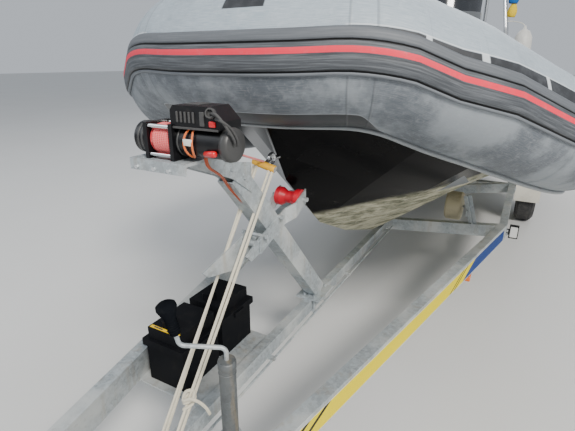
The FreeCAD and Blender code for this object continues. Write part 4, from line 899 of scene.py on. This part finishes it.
class BOAT_OT_winch_trim(bpy.types.Operator):
    """Rope turns, ribs, switch, end caps, tie rods, tag and hook strap of the electric winch"""
    bl_idname = "boat.winch_trim"
    bl_label = "Winch trim"

    def execute(self, context):
        drum_low, drum_high = low_of("winch_drum"), high_of("winch_drum")
        centre = centre_of("winch_drum")
        drum_radius = (drum_high.z - drum_low.z) / 2
        pitch = 0.0075
        wraps = []
        for layer in range(2):
            radius = drum_radius - 0.0045 + layer * 0.0035
            for k in range(int((drum_high.x - drum_low.x - 0.012) / pitch)):
                x = drum_low.x + 0.008 + pitch * (k + 0.5 * layer)
                ring = [
                    (x, centre.y + radius * math.cos(a), centre.z + radius * math.sin(a))
                    for a in turns(40) + [math.tau]
                ]
                wraps.append(strand_mesh("wrap", ring, 0.0042, 8, closed_ends=False))
        red = twisted("drum_rope", (0.72, 0.020, 0.035), (0.78, 0.30, 0.28), 120.0)
        joined_piece("drum_turns", wraps, red, "winch_spool")
        box_low, box_high = low_of("winch_control_box"), high_of("winch_control_box")
        left, right, front, back, top = box_low.x, box_high.x, box_low.y, box_high.y, box_high.z
        ribs = [
            ((x, front - 0.003, top - 0.040), (x + 0.0055, front + 0.002, top - 0.014), 0.0015)
            for x in (left + 0.020 + k * 0.0125 for k in range(5))
        ]
        ribs += [
            ((left + 0.092, front - 0.003, top - 0.046), (right - 0.044, front + 0.001, top - 0.012), 0.002),
            ((left + 0.004, front - 0.003, top - 0.0555), (right - 0.004, front + 0.001, top - 0.050), 0.001),
            ((left + 0.030, front + 0.020, top - 0.001), (left + 0.075, back - 0.020, top + 0.003), 0.002),
        ]
        socket = [(0.0, 0.0125), (0.010, 0.0125), (0.012, 0.0115), (0.012, 0.0085), (0.004, 0.0080)]
        lathes = [(socket, (right - 0.024, front + 0.002, top - 0.015), (0.25, -1.0, 0.25), 28)]
        black = bpy.data.materials["black_plastic"]
        solid_piece("control_box_ribs", black, ribs, lathes, smooth=False)
        body_low, body_high = low_of("winch_body"), high_of("winch_body")
        rocker = [
            ((right - 0.030, front - 0.004, top - 0.046), (right - 0.012, front + 0.002, top - 0.032), 0.002)]
        plug = [(0.0, 0.004), (0.002, 0.0072), (0.026, 0.0080), (0.034, 0.0072), (0.036, 0.004)]
        plug_place = (body_high.x - 0.062, body_low.y + 0.004, centre.z - 0.020)
        lathes = [(plug, plug_place, (1.0, -0.10, 0.10), 24)]
        switch_red = moulded("switch_red", (0.60, 0.006, 0.012), (0.35, 0.03, 0.03), 0.3, 60.0, coat=0.4)
        solid_piece("switch_and_plug", switch_red, rocker, lathes)

        def on_axis(x, y=0.0, z=0.0):
            """A point at x on the winch's axis, or y and z off it."""
            return Vector((x, centre.y + y, centre.z + z))

        cap = [(0.0, 0.036), (0.003, 0.0400), (0.012, 0.0425), (0.022, 0.0425)]
        band = [(0.0, 0.0415), (0.001, 0.0432), (0.006, 0.0432), (0.007, 0.0415)]
        motor_band = [(0.0, 0.0375), (0.001, 0.0392), (0.005, 0.0392), (0.006, 0.0375)]
        lathes = [(cap, on_axis(body_high.x + 0.003), (-1, 0, 0), 40)]
        lathes += [(band, on_axis(body_low.x + 0.010 + 0.013 * k), (1, 0, 0), 40) for k in range(3)]
        lathes.append((motor_band, on_axis(body_low.x + 0.140), (1, 0, 0), 40))
        solid_piece("winch_end_caps", bpy.data.materials["winch_paint"], lathes=lathes)
        rod = [(0.0, 0.0052), (0.067, 0.0052)]
        hub = [(0.0, 0.020), (0.003, 0.030), (0.008, 0.031)]
        screw = [(0.0, 0.006), (0.005, 0.006)]
        lathes = [
            (rod, on_axis(-0.0335, y, z), (1, 0, 0), 16) for y in (-0.037, 0.037) for z in (-0.036, 0.036)
        ]
        lathes.append((hub, on_axis(body_low.x - 0.006), (1, 0, 0), 32))
        lathes += [(screw, (x, centre.y - 0.062, 1.240), (0, 1, 0), 6) for x in (-0.070, -0.010, 0.040)]
        bright = bpy.data.materials["stainless"]
        solid_piece("winch_bright_parts", bright, lathes=lathes, smooth=False)
        strap_x = body_low.x + 0.182
        tag_low = (strap_x - 0.014, body_low.y - 0.0015, centre.z - 0.004)
        tag_high = (strap_x + 0.014, body_low.y + 0.003, centre.z + 0.012)
        tag_white = moulded("tag_white", (0.66, 0.66, 0.62), (0.50, 0.49, 0.45), 0.5, 40.0)
        solid_piece("winch_tag", tag_white, [(tag_low, tag_high, 0.001)])
        loop = []
        for a in turns(32) + [math.tau]:
            rise = 0.002 + 0.037 * math.cos(a)
            reach = math.sqrt(max(0.0, 0.0405 ** 2 - min(0.040, abs(rise)) ** 2))
            loop.append(on_axis(strap_x + 0.013 * math.sin(a), -max(reach, 0.012) - 0.003, rise))
        orange = twisted("webbing_orange", (0.80, 0.16, 0.015), (0.50, 0.10, 0.02), 260.0)
        strap = strand_mesh("hook_strap", loop, 0.0026, 10, closed_ends=False)
        add_piece("hook_strap", strap, orange)
        return {"FINISHED"}


class BOAT_OT_leads(bpy.types.Operator):
    """Battery lead held under the winch post, and the winch's own black leads"""
    bl_idname = "boat.leads"
    bl_label = "Electric leads"

    def execute(self, context):
        terminal_z = low_of("winch_body").z + 0.014
        strands = []
        for shift in (-0.0028, 0.0028):
            route = [
                spot(0.120 + shift, 1.640, terminal_z), spot(0.112 + shift, 1.660, 1.245),
                spot(0.086 + shift, 1.735, 1.205), spot(0.040 + shift, 1.815, 1.165),
            ]
            for t in (0.98, 0.90, 0.80, 0.70, 0.60, 0.52, 0.44, 0.36, 0.28):
                route.append(spot(0.006 + shift, 2.5385 - 0.67 * t, 0.459 + 0.675 * t))
            strands.append(strand_mesh("lead", smooth_path(route), 0.0026, 10))
        rust = rubber("lead_rust", (0.42, 0.070, 0.020), (0.30, 0.12, 0.06), 60.0, 0.45)
        joined_piece("battery_lead", strands, rust)
        strands = []
        for shift in (0.0, 0.012):
            route = [
                spot(0.168 + shift, 1.612, 1.386 - shift), spot(0.196 + shift, 1.598, 1.384 - shift),
                spot(0.214, 1.612 + shift, 1.352), spot(0.216, 1.632 + shift, 1.322),
                spot(0.203, 1.640 + shift, 1.304),
            ]
            strands.append(strand_mesh("lead", smooth_path(route), 0.0034, 10))
        joined_piece("winch_leads", strands, bpy.data.materials["black_rubber"])
        return {"FINISHED"}


class BOAT_OT_trailer_trim(bpy.types.Operator):
    """Crank knob, jockey tube cap, battery lid's strip, and side markers"""
    bl_idname = "boat.trailer_trim"
    bl_label = "Trailer trim"

    def execute(self, context):
        black = bpy.data.materials["black_plastic"]
        tip, bend = spot(0.062, 1.517, 0.888), spot(0.082, 1.528, 0.780)
        axis = (tip - bend).normalized()
        foot = tip - axis * 0.070
        grip = [
            (-0.006, 0.0105), (-0.002, 0.0140), (0.045, 0.0160), (0.077, 0.0280), (0.087, 0.0266),
            (0.0925, 0.0190),
        ]
        rib = [(0.0, 0.0150), (0.002, 0.0168), (0.004, 0.0150)]
        lathes = [(grip, foot, axis, 32)]
        lathes += [(rib, foot + axis * (0.006 + 0.007 * k), axis, 28) for k in range(6)]
        matt = moulded("knob_plastic", (0.006, 0.007, 0.009), (0.020, 0.021, 0.023), 0.6, 26.0, shine=0.0)
        solid_piece("crank_knob", matt, lathes=lathes)
        tube = centre_of("jockey_outer_tube")
        tube_top = high_of("jockey_outer_tube").z
        bore = 0.0232
        collar = [(0.0, 0.0252), (0.002, 0.0262), (0.020, 0.0262), (0.024, 0.0235)]
        bead = [(0.0, 0.0246), (0.001, 0.0254), (0.005, 0.0254), (0.006, 0.0246)]
        lathes = [
            (profile, (tube.x, tube.y, tube_top - drop), (0, 0, 1), 40, bore)
            for profile, drop in ((collar, 0.026), (bead, 0.044))
        ]
        solid_piece("jockey_cap", bpy.data.materials["jockey_zinc"], lathes=lathes)

        def on_lid(x, aft, z):
            """A point at x, measured aft and up from the front edge of the battery lids' top."""
            return spot(x, 1.715 + aft, 0.605 + z)

        strip = [(on_lid(-0.262, 0.016, -0.0005), on_lid(-0.130, 0.030, 0.0012), 0.0005)]
        yellow = moulded("strip_yellow", (0.86, 0.55, 0.0), (0.55, 0.36, 0.02), 0.4, 60.0)
        solid_piece("battery_strip", yellow, strip, smooth=False)
        marks = [
            (on_lid(x, 0.0195, 0.0010), on_lid(x + 0.040, 0.0265, 0.0016), 0.0002)
            for x in (-0.246, -0.186)
        ]
        solid_piece("battery_marks", black, marks, smooth=False)
        rail_z = low_of("rail_port").z
        markers = both_sides(spot(0.634, 3.180, rail_z - 0.044), spot(0.664, 3.240, rail_z - 0.010), 0.006)
        solid_piece("side_markers", lamp_lens("lens_amber", (0.78, 0.16, 0.004)), markers)
        hangers = both_sides(spot(0.626, 3.176, rail_z - 0.012), spot(0.656, 3.244, rail_z), 0.002)
        solid_piece("side_marker_hangers", black, hangers, smooth=False)
        return {"FINISHED"}


class BOAT_OT_tape(bpy.types.Operator):
    """Marking tape on the outer faces of the rails, left bare of words"""
    bl_idname = "boat.tape"
    bl_label = "Marking tape"

    def execute(self, context):
        tape = marking_tape()
        rail_top = high_of("rail_port").z
        slope = (rail_bend_x - rail_front_x) / (rail_bend_aft - rail_front_aft)
        start, end = 1.30, 3.79
        lift = 0.0006
        count = 24
        afts = [start + (end - start) * k / count for k in range(count + 1)]
        for name, side in (("tape_port", 1), ("tape_starboard", -1)):
            bm = bmesh.new()
            bm.loops.layers.uv.new("surface")
            rows = []
            for aft in afts:
                x = rail_front_x + rail_width + (aft - rail_front_aft) * slope + lift
                rows.append([bm.verts.new(spot(side * x, aft, rail_top - drop)) for drop in (0.0965, 0.017)])
            bridge(bm, rows, lambda row, step: (afts[row], step), side > 0, closed=False)
            piece = add_piece(name, mesh_from(name, bm), tape, smooth=False)
            thick = piece.modifiers.new("thickness", "SOLIDIFY")
            thick.thickness = 0.0004
            thick.offset = 0.0
        return {"FINISHED"}


class BOAT_OT_fasteners(bpy.types.Operator):
    """Bolt heads of the trailer and the winch, and the wheels' nuts"""
    bl_idname = "boat.fasteners"
    bl_label = "Fasteners"

    def execute(self, context):
        bolt = galvanised("bolt_zinc", 0.2)
        size = context.scene.boat_sizes.bolt_size
        points = []
        facing = []

        def pair(x, aft, z, direction=None):
            """A bolt head on each side of the middle, facing outwards unless it has a direction."""
            for side in (1, -1):
                points.append(spot(side * x, aft, z))
                facing.append(direction or (side, 0, 0))

        # Cross members' plates on the rails
        rail_top = high_of("rail_port").z
        plate_x = rail_bend_x + rail_width + 0.006
        for aft in (3.82, 5.0, 7.1):
            for shift in (-0.035, 0.035):
                pair(plate_x, aft + shift, rail_top - 0.045)
        # Roller arm on its post, and the bow roller's pin
        pair(0.050, 2.148, 0.943)
        pair(0.050, 2.032, 0.905)
        pair(0.076, 2.298, 0.975)
        # Damper housing on the rails' nose
        for aft in (0.36, 0.60):
            pair(0.058, aft, rail_top + 0.015, (0, 0, 1))
        # Winch base plate, from below, and its feet on the post
        winch_aft = centre_of("winch_drum").y - nose_y
        for shift in (-0.040, 0.045):
            pair(0.070, winch_aft + shift, 1.258, (0, 0, -1))
        pair(0.037, 1.860, 1.190)
        pair(0.037, 1.925, 1.150)
        copies_on_points("bolt_heads", points, facing, "hexagon", (size, 0.009), bolt)
        nut_circle, nut_out = 0.049, 0.034
        for name, side in (("port", 1), ("starboard", -1)):
            hub = centre_of("tyre_" + name) + Vector((side * nut_out, 0, 0))
            nuts = [hub + Vector((0, nut_circle * math.cos(a), nut_circle * math.sin(a))) for a in turns(5)]
            copies_on_points(
                "wheel_nuts_" + name, nuts, [(side, 0, 0)] * 5, "hexagon", (0.021, 0.028), bolt,
                name + "_wheel")
        return {"FINISHED"}


class BOAT_OT_tyres(bpy.types.Operator):
    """Tread blocks and side wall rings of the road tyres"""
    bl_idname = "boat.tyres"
    bl_label = "Tyres"

    def execute(self, context):
        black = bpy.data.materials["tyre_rubber"]
        count = context.scene.boat_sizes.tread_blocks
        for name in ("port", "starboard"):
            body = name + "_wheel"
            centre = centre_of("tyre_" + name)
            reach = high_of("tyre_" + name) - centre
            radius, width = reach.z, reach.x * 2
            tread_radius = radius - 0.0045
            points = []
            facing = []
            for row, share in enumerate((-0.2515, -0.0838, 0.0838, 0.2515)):
                for a in turns(count, 0.5 * (row % 2)):
                    out = Vector((0.0, math.cos(a), math.sin(a)))
                    points.append(centre + Vector((share * width, 0, 0)) + out * tread_radius)
                    facing.append(out)
            sizes = (0.024, 0.0088, 0.023)
            copies_on_points("tread_" + name, points, facing, "block", sizes, black, body)
            bm = bmesh.new()
            profile = ((0.0, -0.003), (0.0018, -0.002), (0.0018, 0.002), (0.0, 0.003))
            for side in (1, -1):
                for ring_radius in (radius - 0.052, radius - 0.086):
                    rings = []
                    for out, step in profile:
                        x = side * (width / 2 - 0.0005 + out)
                        r = ring_radius + step
                        rings.append([
                            bm.verts.new(centre + Vector((x, r * math.cos(a), r * math.sin(a))))
                            for a in turns(64)
                        ])
                    bridge(bm, rings)
            rings_name = "side_wall_rings_" + name
            add_piece(rings_name, mesh_from(rings_name, bm, True), black, body)
        return {"FINISHED"}


class BOAT_OT_lamps(bpy.types.Operator):
    """Lenses of the front and rear lamps"""
    bl_idname = "boat.lamps"
    bl_label = "Lamp lenses"

    def execute(self, context):
        front_x = rail_bend_x + rail_width + 0.016
        rear_aft = high_of("lamp_bar").y + 0.050 - nose_y
        lenses = (
            ("front_lenses", lamp_lens("lens_white", (0.72, 0.72, 0.70)),
             spot(front_x + 0.006, rail_bend_aft + 0.014, 0.390),
             spot(front_x + 0.050, rail_bend_aft + 0.022, 0.464), 0.004),
            ("rear_lenses_red", lamp_lens("lens_red", (0.50, 0.010, 0.012)),
             spot(0.650, rear_aft - 0.004, 0.312), spot(0.775, rear_aft + 0.006, 0.376), 0.003),
            ("rear_lenses_amber", bpy.data.materials["lens_amber"],
             spot(0.785, rear_aft - 0.004, 0.312), spot(0.850, rear_aft + 0.006, 0.376), 0.003),
        )
        for name, lens, low, high, soft in lenses:
            solid_piece(name, lens, both_sides(low, high, soft), smooth=False)
        return {"FINISHED"}


class BOAT_OT_deck_gear(bpy.types.Operator):
    """Cushions, fender with its lanyard, furled flags and the deck's hatch"""
    bl_idname = "boat.deck_gear"
    bl_label = "Deck gear"

    def execute(self, context):
        low, high = low_of("seat"), high_of("seat")
        cushion_z = deck_z + 0.520
        pads = (
            ((low.x, low.y, cushion_z - 0.088), (high.x, high.y, cushion_z + 0.004), 0.028),
            ((low.x, high.y - 0.072, cushion_z + 0.010), (high.x, high.y + 0.002, high.z + 0.004), 0.026),
        )
        vinyl = moulded("cushion_vinyl", (0.030, 0.030, 0.034), (0.075, 0.075, 0.080), 0.44, 14.0)
        solid_piece("seat_cushions", vinyl, pads)
        profile = [
            (0.0, 0.012), (0.02, 0.016), (0.04, 0.060), (0.09, 0.092), (0.30, 0.094), (0.40, 0.090),
            (0.46, 0.058), (0.49, 0.016), (0.52, 0.012),
        ]
        white = moulded("fender_white", (0.66, 0.65, 0.61), (0.40, 0.38, 0.33), 0.4, 10.0)
        lathes = [(profile, spot(0.600, 6.72, 1.355), (0, 0, 1), 32)]
        solid_piece("fender", white, lathes=lathes)
        for name, low_z, high_z, width, colour, pale in (
            ("flag_yellow", 1.98, 2.13, 0.050, (0.80, 0.56, 0.02), (0.58, 0.42, 0.05)),
            ("flag_blue", 2.12, 2.26, 0.055, (0.010, 0.12, 0.42), (0.03, 0.20, 0.50)),
        ):
            rows = []
            for k in range(9):
                t = k / 8
                swell = 0.35 + 0.65 * math.sin(math.pi * min(1.0, 0.25 + 0.75 * t))
                rows.append(((high_z - low_z) * t, width * swell))
            cloth = moulded(name, colour, pale, 0.8, 20.0)
            lathes = [(rows, spot(0.430, 6.820, low_z), (0.10, 0.0, 1.0), 20)]
            solid_piece(name, cloth, lathes=lathes)
        lanyard = smooth_path([
            spot(0.600, 6.72, 1.870), spot(0.560, 6.74, 1.905), spot(0.470, 6.79, 1.930),
            spot(0.395, 6.785, 1.935),
        ], 6)
        cream = bpy.data.materials["rope_fibre"]
        add_piece("fender_lanyard", strand_mesh("fender_lanyard", lanyard, 0.004), cream)
        grey = moulded("deck_plastic", (0.42, 0.42, 0.40), (0.26, 0.25, 0.23), 0.45, 9.0)
        hatch = [(spot(-0.28, 3.62, deck_z + 0.0003), spot(0.28, 4.12, deck_z + 0.010), 0.004)]
        solid_piece("deck_hatch", grey, hatch, smooth=False)
        return {"FINISHED"}


class BOAT_PT_panel(bpy.types.Panel):
    bl_idname = "BOAT_PT_panel"
    bl_label = "Boat"
    bl_space_type = "VIEW_3D"
    bl_region_type = "UI"
    bl_category = "Boat"

    def draw(self, context):
        for name in BoatSizes.__annotations__:
            self.layout.prop(context.scene.boat_sizes, name)
        for name in BoatColours.__annotations__:
            self.layout.prop(context.scene.boat_colours, name)
        for operator in operators:
            self.layout.operator(operator.bl_idname)


operators = (
    BOAT_OT_stage, BOAT_OT_finishes, BOAT_OT_tube, BOAT_OT_strake, BOAT_OT_hull_lip, BOAT_OT_ropes,
    BOAT_OT_winch_trim, BOAT_OT_leads, BOAT_OT_trailer_trim, BOAT_OT_tape, BOAT_OT_fasteners, BOAT_OT_tyres,
    BOAT_OT_lamps, BOAT_OT_deck_gear,
)
classes = (BoatSizes, BoatColours) + operators + (BOAT_PT_panel,)


def register():
    for cls in classes:
        bpy.utils.register_class(cls)
    bpy.types.Scene.boat_sizes = bpy.props.PointerProperty(type=BoatSizes)
    bpy.types.Scene.boat_colours = bpy.props.PointerProperty(type=BoatColours)


def unregister():
    del bpy.types.Scene.boat_colours
    del bpy.types.Scene.boat_sizes
    for cls in reversed(classes):
        bpy.utils.unregister_class(cls)


def main():
    register()
    for operator in operators:
        group, name = operator.bl_idname.split(".")
        getattr(getattr(bpy.ops, group), name)()


if __name__ == "__main__":
    main()
